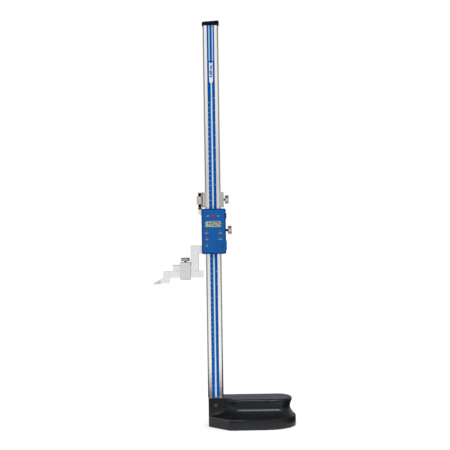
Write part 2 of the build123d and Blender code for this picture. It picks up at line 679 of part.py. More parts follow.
# ---------------------------------------------------------------- display
def reading_head():
    """The pick-up that runs over the scale, with the plug that joins it to the board."""
    half = LIP_EDGE_X - AIR_GAP
    body = block(
        (-half, half),
        (FRAME_FRONT_Y, BEAM_FRONT - AIR_GAP),
        (DISPLAY_CENTRE_Z - HEAD_HEIGHT / 2, DISPLAY_CENTRE_Z + HEAD_HEIGHT / 2),
    )
    return body + head_plug(0)


def head_plug(gap):
    width, height = HEAD_PLUG[0] / 2 + gap, HEAD_PLUG[1] / 2 + gap
    return block(
        (-width, width),
        (BOARD_BACK_Y, FRAME_FRONT_Y),
        (DISPLAY_CENTRE_Z - height, DISPLAY_CENTRE_Z + height),
    )


def case_fill(gap, y, corner):
    """A plate that fills the case to within a gap of its walls and of the screw bosses."""
    inset = 2 * (CASE_WALL + gap)
    plate = front_pad(
        DISPLAY_CENTRE_X, DISPLAY_CENTRE_Z, DISPLAY_WIDTH - inset, DISPLAY_HEIGHT - inset, y, corner
    )
    for x, z in BOSS_PLACES:
        plate -= rod_y(BOSS_RADIUS + gap, x, y, z)
    return plate


def display_back_plate():
    plate = case_fill(DROP_IN_GAP, (BACK_PLATE_Y, FRAME_FRONT_Y), CASE_CORNER / 2)
    for x, z in STANDOFF_PLACES:
        plate += rod_y(STANDOFF_RADIUS, x, (BOARD_BACK_Y, BACK_PLATE_Y), z)
    return plate - head_plug(DROP_IN_GAP)


def circuit_board():
    return case_fill(AIR_GAP, (BOARD_FRONT_Y, BOARD_BACK_Y), CASE_CORNER / 2)


def key_switches():
    """One small switch under each key."""
    front = KEY_BACK_Y + KEY_TRAVEL + SLIDE_GAP
    half = SWITCH_SIZE / 2
    return Compound(
        [
            block((x - half, x + half), (front, BOARD_FRONT_Y), (z - half, z + half))
            for x, z, *_ in (POWER_KEY, *SMALL_KEYS)
        ]
    )


def lcd_panel():
    size = (LCD_WIDTH + 2 * LCD_BORDER, LCD_HEIGHT + 2 * LCD_BORDER)
    return front_pad(0, LCD_CENTRE_Z, *size, (CASE_INNER_Y, LCD_BACK_Y), 0.5)


def lcd_connectors():
    """Two rubber strips that press the glass's contacts to the board."""
    half = LCD_WIDTH / 2
    strips = []
    for side in (-1, 1):
        middle = LCD_CENTRE_Z + side * (LCD_HEIGHT + LCD_BORDER) / 2
        z = (middle - CONNECTOR_WIDTH / 2, middle + CONNECTOR_WIDTH / 2)
        strips.append(block((-half, half), (LCD_BACK_Y, BOARD_FRONT_Y), z))
    return Compound(strips)


def lcd_window():
    size = (LCD_WIDTH - 2 * TURN_GAP, LCD_HEIGHT - 2 * TURN_GAP)
    return front_pad(0, LCD_CENTRE_Z, *size, (DISPLAY_FRONT_Y, CASE_INNER_Y), LCD_CORNER)


def key(x, z, width, height, y_front=DISPLAY_FRONT_Y - KEY_PROUD, gap=0.0):
    """An oval key with the flange that keeps it in the case; with a gap, the hole for its stem."""
    size = (width + 2 * gap, height + 2 * gap)
    stem = front_pad(x, z, *size, (y_front, CASE_INNER_Y), size[1] * KEY_ROUNDNESS)
    if gap:
        return stem
    size = (width + 2 * KEY_FLANGE, height + 2 * KEY_FLANGE)
    return stem + front_pad(x, z, *size, (CASE_INNER_Y, KEY_BACK_Y), size[1] * KEY_ROUNDNESS)


def power_key():
    return key(*POWER_KEY)


def cover_bounds(gap):
    """The battery cover's plate and its two tongues, or the slide cut for them with a gap."""
    half = COVER_HEIGHT / 2 + gap
    x = (COVER_LEFT_X - gap, DISPLAY_RIGHT_X)
    plate = block(x, (CASE_FRONT_Y, COVER_BACK_Y + gap), (CELL_Z - half, CELL_Z + half))
    reach = half + COVER_TONGUE
    tongue_front = (CASE_FRONT_Y + COVER_BACK_Y) / 2 - gap
    tongues = block(x, (tongue_front, COVER_BACK_Y + gap), (CELL_Z - reach, CELL_Z + reach))
    return plate + tongues


def battery_cover():
    half = COVER_HEIGHT / 2
    tab = block(
        (DISPLAY_RIGHT_X + DROP_IN_GAP, DISPLAY_RIGHT_X + COVER_TAB),
        (CASE_FRONT_Y, CASE_FRONT_Y + COVER_TAB_DEPTH),
        (CELL_Z - half, CELL_Z + half),
    )
    bridge = block(
        (DISPLAY_RIGHT_X, DISPLAY_RIGHT_X + COVER_TAB),
        (CASE_FRONT_Y, COVER_BACK_Y),
        (CELL_Z - half, CELL_Z + half),
    )
    tab = tab + bridge
    outer = tab.edges().filter_by(Axis.Z).sort_by(Axis.X)[-2:].sort_by(Axis.Y)[0]
    return chamfer(outer, COVER_ROUND) + cover_bounds(0)


def battery():
    return rod_y(CELL_RADIUS, CELL_X, (CELL_FRONT_Y, CELL_BACK_Y), CELL_Z)


def battery_contacts():
    """The plate under the cell and the clip that hooks over its rim."""
    under = front_pad(CELL_X, CELL_Z, *CONTACT_SIZE, (CELL_BACK_Y, BOARD_FRONT_Y), 0.5)
    z = (CELL_Z - CLIP_HEIGHT / 2, CELL_Z + CLIP_HEIGHT / 2)
    rim = CELL_X - CELL_RADIUS - DROP_IN_GAP
    hook_front = CELL_FRONT_Y - CONTACT_THICKNESS
    post = block((rim - CONTACT_THICKNESS, rim), (hook_front, BOARD_FRONT_Y), z)
    hook = block((rim, rim + CLIP_REACH), (hook_front, CELL_FRONT_Y), z)
    return Compound([under, post + hook])


def port_slot(size, x, gap=0.0):
    depth, height = size[0] / 2 + gap, size[1] / 2 + gap
    return block(
        x, (PORT_Y - depth, PORT_Y + depth), (PORT_CENTRE_Z - height, PORT_CENTRE_Z + height)
    )


def data_port():
    """The socket for a data lead, on the board behind its cover."""
    end = DISPLAY_RIGHT_X - PORT_PLUG_LENGTH - AIR_GAP
    front = PORT_Y - PORT_PLUG[0] / 2
    half = PORT_PLUG[1] / 2
    z = (PORT_CENTRE_Z - half, PORT_CENTRE_Z + half)
    return block((end - PORT_BLOCK_WIDTH, end), (front, BOARD_FRONT_Y), z)


def data_port_cover():
    inner = DISPLAY_RIGHT_X + SLIDE_GAP
    flange = port_slot(PORT_FLANGE, (inner, DISPLAY_RIGHT_X + PORT_FLANGE_OUT))
    flange = chamfer(flange.faces().sort_by(Axis.X)[-1].edges(), PORT_FLANGE_CHAMFER)
    return flange + port_slot(PORT_PLUG, (DISPLAY_RIGHT_X - PORT_PLUG_LENGTH, inner))


def display_case():
    """The front shell: walls, bosses and the openings for window, keys, battery and data port."""
    x, z, width, height = DISPLAY_CENTRE_X, DISPLAY_CENTRE_Z, DISPLAY_WIDTH, DISPLAY_HEIGHT
    shell = front_pad(x, z, width, height, (CASE_FRONT_Y, FRAME_FRONT_Y), CASE_CORNER)
    shell = chamfer(shell.faces().sort_by(Axis.Y)[0].edges(), CASE_BEVEL)
    room = (width - 2 * CASE_WALL, height - 2 * CASE_WALL)
    shell -= front_pad(x, z, *room, (CASE_INNER_Y, FRAME_FRONT_Y), CASE_CORNER / 2)
    for place in BOSS_PLACES:
        boss_y = (CASE_INNER_Y - 1, FRAME_FRONT_Y)
        shell += rod_y(BOSS_RADIUS, place[0], boss_y, place[1])
        shell -= rod_y(
            CASE_SCREW_RADIUS + TURN_GAP, place[0], (CASE_FRONT_Y - 1, FRAME_FRONT_Y), place[1]
        )
        head_y = (CASE_FRONT_Y - 1, CASE_FRONT_Y + CASE_SCREW_HEAD + TURN_GAP)
        shell -= rod_y(CASE_SCREW_HEAD_RADIUS + DROP_IN_GAP, place[0], head_y, place[1])
    opening = (DISPLAY_FRONT_Y, CASE_INNER_Y)
    shell -= front_pad(0, LCD_CENTRE_Z, LCD_WIDTH, LCD_HEIGHT, opening, LCD_CORNER)
    for place in (POWER_KEY, *SMALL_KEYS):
        shell -= key(*place, gap=KEY_GAP)
    shell -= cover_bounds(DROP_IN_GAP)
    shell -= rod_y(CELL_RADIUS + AIR_GAP, CELL_X, (CASE_FRONT_Y, CASE_INNER_Y), CELL_Z)
    return shell - port_slot(PORT_PLUG, (x, DISPLAY_RIGHT_X + 1), DROP_IN_GAP)


def case_screws():
    screws = []
    seat = CASE_FRONT_Y + CASE_SCREW_HEAD
    for x, z in BOSS_PLACES:
        screw = rod_y(CASE_SCREW_RADIUS, x, (seat, FRAME_FRONT_Y + CASE_SCREW_BITE - TURN_GAP), z)
        screws.append(screw + rod_y(CASE_SCREW_HEAD_RADIUS, x, (CASE_FRONT_Y, seat), z))
    return Compound(screws)


def face_panel():
    """The printed overlay on the case's flat front, which hides its screws."""
    y = (DISPLAY_FRONT_Y, CASE_FRONT_Y)
    margin = 2 * (CASE_BEVEL + PANEL_MARGIN)
    size = (DISPLAY_WIDTH - margin, DISPLAY_HEIGHT - margin)
    panel = front_pad(DISPLAY_CENTRE_X, DISPLAY_CENTRE_Z, *size, y, PANEL_CORNER)
    panel -= front_pad(0, LCD_CENTRE_Z, LCD_WIDTH, LCD_HEIGHT, y, LCD_CORNER)
    for place in (POWER_KEY, *SMALL_KEYS):
        panel -= key(*place, gap=KEY_GAP)
    half = COVER_HEIGHT / 2 + DROP_IN_GAP
    x = (COVER_LEFT_X - DROP_IN_GAP, DISPLAY_RIGHT_X)
    return panel - block(x, y, (CELL_Z - half, CELL_Z + half))


# ---------------------------------------------------------------- fine adjustment
def fine_carriage():
    """The small carriage that is locked to the beam, with the fork that holds the nut."""
    z = (CARRIAGE_BOTTOM, CARRIAGE_TOP)
    body = block((CARRIAGE_LEFT_X, CARRIAGE_RIGHT_X), (CARRIAGE_FRONT_Y, FRAME_BACK_Y), z)
    body = chamfer(body.edges().filter_by(Axis.Z).group_by(Axis.Y)[-1], FRAME_BACK_CHAMFER)
    body += block((FORK_END_X, CARRIAGE_LEFT_X), (-FORK_HALF_DEPTH, FORK_HALF_DEPTH), z)
    body -= guide_channel(z, LIP_EDGE_X, CARRIAGE_FRONT_Y)
    body -= block(*gib_bounds(z, CARRIAGE_GIB_THICKNESS, DROP_IN_GAP))
    body -= rod_x(
        SHANK_RADIUS + TURN_GAP, (GIB_FACE_X, CARRIAGE_RIGHT_X + 1), 0, CARRIAGE_MIDDLE
    )
    deep = FORK_HALF_DEPTH + 1
    window = (NUT_BOTTOM - SLIDE_GAP, NUT_TOP + SLIDE_GAP)
    body -= block((FORK_END_X - 1, CARRIAGE_LEFT_X), (-deep, deep), window)
    slot = ROD_RADIUS + AIR_GAP
    body -= block((ROD_X - slot, ROD_X + slot), (-deep, 0), z)
    body -= rod_z(slot, ROD_X, 0, z)
    bite = (-FORK_HALF_DEPTH, -FORK_HALF_DEPTH + FORK_SCREW_BITE)
    for height in FORK_SCREW_HEIGHTS:
        body -= rod_y(FORK_SCREW_RADIUS + TURN_GAP, FORK_SCREW_X, bite, height)
    return body


def fork_screws():
    screws = []
    for z in FORK_SCREW_HEIGHTS:
        face = -FORK_HALF_DEPTH
        screw = rod_y(FORK_SCREW_RADIUS, FORK_SCREW_X, (face, face + FORK_SCREW_BITE), z)
        head = rod_y(FORK_SCREW_HEAD_RADIUS, FORK_SCREW_X, (face - FORK_SCREW_HEAD, face), z)
        screws.append(screw + head)
    return Compound(screws)


def carriage_gib():
    return block(*gib_bounds((CARRIAGE_BOTTOM, CARRIAGE_TOP), CARRIAGE_GIB_THICKNESS))


def adjusting_nut():
    nut = chamfer(
        rod_z(NUT_RADIUS, ROD_X, 0, (NUT_BOTTOM, NUT_TOP)).edges().filter_by(GeomType.CIRCLE),
        NUT_EDGE,
    )
    return nut - rod_z(ROD_RADIUS + TURN_GAP, ROD_X, 0, (NUT_BOTTOM, NUT_TOP))


def carriage_lock_screw():
    head_x = CARRIAGE_RIGHT_X + CARRIAGE_LOCK_STAND
    shank = head_x - (GIB_FACE_X + CARRIAGE_GIB_THICKNESS + AIR_GAP)
    return Pos(head_x, 0, CARRIAGE_MIDDLE) * Rot(0, 90, 0) * thumb_screw(THUMB_RADIUS, THUMB_LENGTH, shank)


# ---------------------------------------------------------------- scriber
def tip_slope(x):
    """Height of the scriber's sloping back at a place along it."""
    rise = TIP_DROP - TIP_RISE + TIP_SHOULDER
    return SCRIBER_BOTTOM + TIP_SHOULDER - (SCRIBER_LEFT_X - x) / TIP_REACH * rise


def tip_joint():
    """Bottom and top ends of the brazed joint between the bar and its carbide tip."""
    x = SCRIBER_LEFT_X - TIP_JOINT_BACK
    return (x, SCRIBER_BOTTOM - LEG_DROP), (x - TIP_JOINT_SLANT, tip_slope(x - TIP_JOINT_SLANT))


def scriber_bar():
    bottom, top = tip_joint()
    leg_x = SCRIBER_LEFT_X + LEG_WIDTH
    half = SCRIBER_THICKNESS / 2
    bar = side_plate(
        (
            (SCRIBER_RIGHT_X, SCRIBER_TOP),
            (SCRIBER_LEFT_X + SCRIBER_CORNER, SCRIBER_TOP),
            (SCRIBER_LEFT_X, SCRIBER_TOP - SCRIBER_CORNER),
            (SCRIBER_LEFT_X, tip_slope(SCRIBER_LEFT_X)),
            top,
            bottom,
            (leg_x, bottom[1]),
            (leg_x, SCRIBER_BOTTOM),
            (SCRIBER_RIGHT_X, SCRIBER_BOTTOM),
        ),
        (-half, half),
    )
    middle = (SCRIBER_TOP + SCRIBER_BOTTOM) / 2
    line = (middle - SCRIBER_LINE / 2, middle + SCRIBER_LINE / 2)
    run = (leg_x, SCRIBER_RIGHT_X + 1)
    for y in ((-half, -half + SCRIBER_LINE_DEPTH), (half - SCRIBER_LINE_DEPTH, half)):
        bar -= block(run, y, line)
    return bar


def scriber_tip():
    bottom, top = tip_joint()
    point_x = SCRIBER_LEFT_X - TIP_REACH
    edge = SCRIBER_BOTTOM - TIP_DROP
    points = (bottom, (bottom[0], edge), (point_x, edge), (point_x, edge + TIP_RISE), top)
    return side_plate(points, (-TIP_THICKNESS / 2, TIP_THICKNESS / 2))


def scriber_clamp():
    deep = CLAMP_CAVITY_HALF + CLAMP_SIDE_WALL
    body = block((CLAMP_LEFT_X, CLAMP_RIGHT_X), (-deep, deep), (CLAMP_BOTTOM, CLAMP_TOP))
    body = fillet(body.edges(), CLAMP_ROUND)
    cavity = (SCRIBER_BOTTOM - SLIDE_GAP, ARM_TOP + AIR_GAP)
    through = (CLAMP_LEFT_X - 1, CLAMP_RIGHT_X + 1)
    body -= block(through, (-CLAMP_CAVITY_HALF, CLAMP_CAVITY_HALF), cavity)
    return body - rod_z(SHANK_RADIUS + TURN_GAP, CLAMP_SCREW_X, 0, (ARM_TOP, CLAMP_TOP + 1))


def clamp_screw():
    head_z = CLAMP_TOP + CLAMP_HEAD_STAND
    shank = head_z - (ARM_TOP + AIR_GAP)
    screw = thumb_screw(CLAMP_HEAD_RADIUS, CLAMP_HEAD_LENGTH, shank)
    return Pos(CLAMP_SCREW_X, 0, head_z) * screw


PIECES = [
    base_casting,
    beam,
    scale_strip,
    column_screws,
    beam_set_screw,
    beam_cap,
    cap_screws,
    slider_frame,
    slider_gib,
    gib_screws,
    threaded_rod,
    rod_collar,
    slider_lock_screw,
    reading_head,
    display_back_plate,
    circuit_board,
    key_switches,
    lcd_panel,
    lcd_connectors,
    lcd_window,
    display_case,
    case_screws,
    face_panel,
    battery,
    battery_contacts,
    battery_cover,
    data_port,
    data_port_cover,
    power_key,
    fine_carriage,
    fork_screws,
    carriage_gib,
    adjusting_nut,
    carriage_lock_screw,
    scriber_bar,
    scriber_tip,
    scriber_clamp,
    clamp_screw,
]

os.makedirs("parts", exist_ok=True)
for piece in PIECES:
    export_step(piece(), f"parts/{piece.__name__}.step")
for number, place in enumerate(SMALL_KEYS, start=1):
    export_step(key(*place), f"parts/key_{number}.step")
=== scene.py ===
# %% [markdown]
# # A digital height gauge, finished in Blender
# The pieces with real sizes come from CAD. This lesson gives them their paint, ground steel and
# printed scale, and models what CAD left plain: knurled heads, a thread, keys, ink and digits.

# %% Load the CAD frame
import bmesh
import bpy
from math import atan2, cos, degrees, radians, sin, tau
from mathutils import Matrix, Vector


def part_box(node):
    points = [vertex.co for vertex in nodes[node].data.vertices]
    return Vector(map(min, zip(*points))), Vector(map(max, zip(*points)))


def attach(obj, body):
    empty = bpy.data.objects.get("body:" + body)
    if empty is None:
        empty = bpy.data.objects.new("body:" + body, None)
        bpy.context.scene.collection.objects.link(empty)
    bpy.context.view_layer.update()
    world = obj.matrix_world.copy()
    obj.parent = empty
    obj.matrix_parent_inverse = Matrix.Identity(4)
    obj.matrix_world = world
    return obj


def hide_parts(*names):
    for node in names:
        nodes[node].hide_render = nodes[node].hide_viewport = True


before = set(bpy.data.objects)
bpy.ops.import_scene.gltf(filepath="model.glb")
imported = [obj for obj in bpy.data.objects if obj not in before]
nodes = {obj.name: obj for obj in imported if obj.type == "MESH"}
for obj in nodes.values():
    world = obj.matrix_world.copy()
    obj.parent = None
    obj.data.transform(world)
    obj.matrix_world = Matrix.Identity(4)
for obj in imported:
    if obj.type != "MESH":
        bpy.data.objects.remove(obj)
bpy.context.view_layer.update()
MM = 0.001

# %% [markdown]
# ## Camera
# A gauge this tall is pictured from well back with a long lens, level, so that the beam stays
# upright. Aiming from one point at another, with a small roll, keeps the numbers readable; three
# Euler angles would hide what they mean.

# %% Camera
IMAGE = 450
FOCAL = 851.6  # in pixels of the square image
SENSOR = 36.0
EYE = Vector((0.0241, -1.75, 0.409))
AIM = Vector((0.0241, 0.0, 0.4112))
ROLL = radians(0.87)

camera_data = bpy.data.cameras.new("camera")
camera_data.sensor_width = SENSOR
camera_data.lens = FOCAL / IMAGE * SENSOR
camera_data.clip_end = 60
camera = bpy.data.objects.new("camera", camera_data)
bpy.context.scene.collection.objects.link(camera)
look = (AIM - EYE).to_track_quat("-Z", "Y").to_matrix().to_4x4()
camera.matrix_world = Matrix.Translation(EYE) @ look @ Matrix.Rotation(-ROLL, 4, "Z")
bpy.context.scene.camera = camera
bpy.context.scene.view_settings.view_transform = "Standard"
print("lens:", round(camera_data.lens, 2), "mm")

# %% [markdown]
# ## Shader maths
# A finish is mostly arithmetic on a point's place. Wiring Math nodes by hand hides the sum, so a
# small class wraps a socket: `x * 2 + noise` is then plain Python, and each operator adds its node.


# %% A socket that can be calculated with
class Value:
    """A number or colour that the shader works out at each point."""

    def __init__(self, shading, socket):
        self.shading = shading
        self.socket = socket

    def math(self, operation, *others):
        return self.shading.math(operation, self, *others)

    def __add__(self, other):
        return self.math("ADD", other)

    def __sub__(self, other):
        return self.math("SUBTRACT", other)

    def __mul__(self, other):
        return self.math("MULTIPLY", other)

    def __rsub__(self, other):
        return self.shading.math("SUBTRACT", other, self)

    def __abs__(self):
        return self.math("ABSOLUTE")

    __radd__ = __add__
    __rmul__ = __mul__


print("defined:", Value.__name__)

# %% [markdown]
# Every node of a material or of the world comes from one method: its kind, its settings first,
# then its sockets. The helpers below it are only common uses of that method.


# %% A node tree written as Python
class Shading:
    """The nodes of one material or of the world."""

    def __init__(self, tree, end):
        self.tree = tree
        self.end = tree.nodes[end]

    def node(self, kind, settings, sockets, output=0):
        """Adds a node: its settings first, then its sockets. Gives one of its outputs."""
        node = self.tree.nodes.new(kind)
        for name, value in settings.items():
            setattr(node, name, value)
        for name, value in sockets.items():
            if isinstance(value, Value):
                self.tree.links.new(value.socket, node.inputs[name])
            else:
                node.inputs[name].default_value = value
        return Value(self, node.outputs[output])

    def math(self, operation, *values):
        return self.node("ShaderNodeMath", {"operation": operation}, dict(enumerate(values)))

    def feed(self, socket, value):
        self.tree.links.new(value.socket, self.end.inputs[socket])

    def place(self, axis):
        """The point's X, Y or Z in metres."""
        point = self.node("ShaderNodeTexCoord", {}, {}, "Object")
        return self.node("ShaderNodeSeparateXYZ", {}, {0: point}, axis)

    def noise(self, grain, detail=2.0, offset=0.0):
        """Noise from 0 to 1 with so many grains per metre along X, Y and Z."""
        point = self.node("ShaderNodeTexCoord", {}, {}, "Object")
        sockets = {"Vector": point, "Scale": grain, "Location": (offset, offset, offset)}
        spread = self.node("ShaderNodeMapping", {}, sockets)
        look = {"Vector": spread, "Scale": 1.0, "Detail": detail}
        return self.node("ShaderNodeTexNoise", {}, look)

    def ease(self, value, low, high):
        """Runs smoothly from 0 at low to 1 at high."""
        sockets = {"Value": value, "From Min": low, "From Max": high}
        return self.node("ShaderNodeMapRange", {"interpolation_type": "SMOOTHSTEP"}, sockets)

    def band(self, value, middle, half, soft):
        """1 within half of the middle, and smoothly 0 outside."""
        return 1 - self.ease(abs(value - middle), half, half + soft)

    def mix(self, share, low, high):
        """A colour between two others."""
        return self.node("ShaderNodeMix", {"data_type": "RGBA"}, {0: share, 6: low, 7: high}, 2)

    def seen(self):
        """1 on rays from the camera, off a gloss or through glass, and 0 on light that spreads."""
        kinds = ("Camera", "Glossy", "Transmission")
        camera_ray, glossy, through = [
            self.node("ShaderNodeLightPath", {}, {}, f"Is {kind} Ray") for kind in kinds
        ]
        return camera_ray.math("MAXIMUM", glossy).math("MAXIMUM", through)


print("defined:", Shading.__name__)

# %% [markdown]
# A finish is one Principled shader. What is the same all over is set on its own socket, and only
# what changes over the surface is linked, so that the finish survives baking.


# %% A finish
class Finish(Shading):
    """A named material with one Principled shader."""

    def __init__(self, name, constants):
        self.material = bpy.data.materials.new(name)
        self.material.use_nodes = True
        super().__init__(self.material.node_tree, "Principled BSDF")
        for socket, value in constants.items():
            self.end.inputs[socket].default_value = value

    def bump(self, height, distance):
        """Relief: a height of 1 stands so many metres proud."""
        sockets = {"Height": height, "Distance": distance, "Strength": 1.0}
        self.feed("Normal", self.node("ShaderNodeBump", {}, sockets))


def rgb(red, green, blue):
    """A screen colour, 0 to 255, as the linear colour that a shader takes."""
    shares = [value / 255 for value in (red, green, blue)]
    linear = [((s + 0.055) / 1.055) ** 2.4 if s > 0.04 else s / 12.92 for s in shares]
    return (*linear, 1.0)


def dimmer(colour, share):
    """The same hue with only a share of its light."""
    return (*(c * share for c in colour[:3]), 1.0)


print("mid grey is", [round(c, 3) for c in rgb(128, 128, 128)])

# %% [markdown]
# ## Stage
# A white surround gives the steel something bright to reflect. It lights the object a little less
# than it shows, so that pale surfaces keep their colour.

# %% World
SURROUND = 1.0
SKY_LIGHT = 0.96

world = bpy.data.worlds.new("surround")
bpy.context.scene.world = world
world.use_nodes = True
sky = Shading(world.node_tree, "Background")
sky.end.inputs["Color"].default_value = (1, 1, 1, 1)
sky.feed("Strength", sky.seen() * (SURROUND - SKY_LIGHT) + SKY_LIGHT)
print("world light:", SKY_LIGHT)

# %% [markdown]
# Two lamps. A large softbox overhead gives the soft shadow. A small one in front, with a grid that
# keeps its light on the casting, draws the long highlight in the finger groove. It hangs high, so
# that from behind it doesn't glare on the grip's flat top.


# %% Lamps
def facing(place, aim):
    """Stands at a place with -Z towards the aim."""
    turn = (Vector(aim) - Vector(place)).to_track_quat("-Z", "Y").to_matrix().to_4x4()
    return Matrix.Translation(place) @ turn


def softbox(name, place, aim, width, height, watts, spread):
    """An area lamp whose grid lets light out over so many degrees."""
    lamp = bpy.data.lights.new(name, "AREA")
    lamp.shape = "RECTANGLE"
    lamp.size = width
    lamp.size_y = height
    lamp.energy = watts
    lamp.spread = radians(spread)
    holder = bpy.data.objects.new(name, lamp)
    bpy.context.scene.collection.objects.link(holder)
    holder.matrix_world = facing(place, aim)


softbox("top_softbox", (-0.9, -1.1, 2.4), (0, 0, 0.4), 1.2, 1.2, 6.0, 180)
softbox("groove_softbox", (0.14, -1.6, 1.4), (0.095, 0, 0.03), 0.16, 0.16, 0.045, 6)

# %% [markdown]
# Polished metal shows what stands round it. In a plain white room it has no shape, so a studio
# sets cards round the object. Those above and beside it shade the round pieces, those far in front
# grade the flat beam from top to bottom, and dark ones on the floor keep the black paint black.
# Only glossy rays see these cards: they cast no shadow and take no light away.


# %% Grey cards
def card(name, place, aim, width, height, colour):
    """A board that glows evenly in a linear colour, and that only glossy rays meet."""
    bm = bmesh.new()
    shape = facing(place, aim) @ Matrix.Diagonal((width, height, 1, 1))
    bmesh.ops.create_grid(bm, x_segments=1, y_segments=1, size=0.5, matrix=shape)
    mesh = bpy.data.meshes.new(name)
    bm.to_mesh(mesh)
    bm.free()
    board = {"Base Color": (0, 0, 0, 1), "Specular IOR Level": 0.0}
    glow = {"Emission Color": (*colour, 1), "Emission Strength": 1.0}
    mesh.materials.append(Finish(name, board | glow).material)
    holder = bpy.data.objects.new(name, mesh)
    bpy.context.scene.collection.objects.link(holder)
    holder.visible_camera = False
    holder.visible_diffuse = False
    holder.visible_transmission = False
    holder.visible_shadow = False


LIFT = 4 * MM  # of a card that lies on the floor
card("card_above", (0, 0.6, 1.7), (0, 0.6, 0), 4.0, 4.6, (0.12, 0.12, 0.12))
card("card_right", (1.3, -0.1, 0.7), (0, -0.1, 0.7), 1.6, 1.5, (0.40, 0.40, 0.40))
card("card_left", (-1.3, -0.1, 0.7), (0, -0.1, 0.7), 1.6, 1.5, (0.70, 0.70, 0.70))
card("card_behind", (0, 3.2, 1.1), (0, 0, 1.1), 5.0, 1.7, (0.44, 0.43, 0.55))
card("card_before", (0, -3.5, 0.68), (0, 0, 0.68), 1.2, 0.5, (0.56, 0.54, 0.54))
card("card_before_left", (-0.36, -3.5, 0.215), (-0.36, 0, 0.215), 0.62, 0.43, (0.70, 0.72, 0.75))
card("card_before_right", (0.25, -3.5, 0.215), (0.25, 0, 0.215), 0.6, 0.43, (0.94, 0.96, 0.97))
card("card_low", (0.1, -0.275, LIFT), (0.1, -0.275, 1), 1.4, 0.36, (0.05, 0.04, 0.03))
card("card_low_right", (0.57, 0.1, LIFT), (0.57, 0.1, 1), 0.8, 1.6, (0.03, 0.03, 0.03))

# %% [markdown]
# The floor is pale paper. It keeps the object's shadow, and glows just enough to read as white.

# %% Floor
FLOOR_WIDTH = 14.0
PAPER_GLOW = 0.26

bm = bmesh.new()
bmesh.ops.create_grid(bm, x_segments=2, y_segments=2, size=FLOOR_WIDTH / 2)
floor_mesh = bpy.data.meshes.new("floor")
bm.to_mesh(floor_mesh)
bm.free()
floor = bpy.data.objects.new("floor", floor_mesh)
bpy.context.scene.collection.objects.link(floor)
matt = {"Roughness": 0.9, "Specular IOR Level": 0.0, "Emission Strength": PAPER_GLOW}
paper = Finish("floor_paper", matt)
fibres = paper.noise((40, 40, 40))
paper.feed("Base Color", paper.mix(fibres, (0.80, 0.80, 0.80, 1), (0.82, 0.82, 0.82, 1)))
paper.feed("Emission Color", paper.mix(paper.seen(), (0, 0, 0, 1), (1, 1, 1, 1)))
floor_mesh.materials.append(paper.material)
print("floor:", FLOOR_WIDTH, "m")

# %% [markdown]
# ## Finishes
# Each finish is a function or a few lines, so its numbers stay beside its reasons.
#
# The base is a rough iron casting under thick satin paint: small lumps softened by the paint, a
# little unevenness in gloss, and lighter lines along the sole's edges, where they meet the table
# and the hand, that are partly rubbed metal and partly painted highlight.


# %% Cast iron in black paint
SOLE_EDGE = 20.4 * MM
EDGE_HALF = 0.35 * MM
NOSE_END = 66 * MM
FOOT_WEAR_AND_HIGHLIGHT = 1.6 * MM
PAINT_RELIEF = 0.16 * MM


def black_paint():
    """Lighter round the foot and, up to the nose's end, on the sole's upper edge: wear and painted
    highlight.
    """
    finish = Finish("black_paint", {"Specular IOR Level": 0.36})
    x, z = finish.place("X"), finish.place("Z")
    lumps = finish.noise((260, 260, 260), 3.0)
    grain = finish.noise((1500, 1500, 1500), 2.0, 4.0)
    cloud = finish.noise((28, 28, 28), 2.0, 9.0)
    foot = finish.ease(FOOT_WEAR_AND_HIGHLIGHT - z, 0.0, 0.5 * MM)
    nose = finish.ease(NOSE_END - x, 0.0, 20 * MM)
    # The pale lines at the foot and along the ledge are partly rubbed metal and partly painted
    # highlight.
    ledge = finish.band(z, SOLE_EDGE, EDGE_HALF, 0.4 * MM) * nose
    rubbed_and_highlight = foot.math("MAXIMUM", ledge) * finish.ease(grain, 0.36, 0.60)
    colour = finish.mix(cloud, rgb(11, 13, 16), rgb(19, 22, 26))
    finish.feed("Base Color", finish.mix(rubbed_and_highlight, colour, rgb(88, 90, 94)))
    finish.feed("Roughness", 0.27 + cloud * 0.10 + grain * 0.05)
    finish.bump(lumps * 0.7 + grain * 0.3, PAINT_RELIEF)
    return finish.material


print("the sole's edge is", round(SOLE_EDGE / MM, 1), "mm up")

# %% [markdown]
# Ground steel is bright metal with fine scratches that all run one way, along the wheel's travel.
# Stretched noise gives them: few grains along the run, thousands across it.

# %% Ground steel
GRAINS_ALONG = 14  # a metre
GRAINS_ACROSS = 5200
SCRATCH_DEPTH = 0.012 * MM


def ground(name, run, rough):
    """Metal scratched along one axis. Gives the finish, its scratches and its clouds."""
    grain = [GRAINS_ALONG if axis == run else GRAINS_ACROSS for axis in "xyz"]
    finish = Finish(name, {"Metallic": 1.0})
    scratches = finish.noise(grain, 3.0)
    cloud = finish.noise((24, 24, 24), 2.0, 5.0)
    finish.feed("Roughness", rough + scratches * 0.12 + cloud * 0.06)
    finish.bump(scratches, SCRATCH_DEPTH)
    return finish, scratches, cloud


def ground_steel(name, run, light, dark, rough=0.26):
    finish, scratches, cloud = ground(name, run, rough)
    shade = finish.ease(scratches, 0.28, 0.72) * 0.6 + cloud * 0.4
    finish.feed("Base Color", finish.mix(shade, dark, light))
    return finish.material


print("scratches:", GRAINS_ACROSS, "a metre")

# %% [markdown]
# The beam's two edges are bevelled and left as milled. Their colour is painted much darker than the
# ground face, as painted shade on faces that turn aside.
# The bevel needs no separate piece: it is found by its distance from the middle of the beam.

# %% Steel of the beam
BEVEL_START = 13.0 * MM
BEAM_ROUGH = 0.12


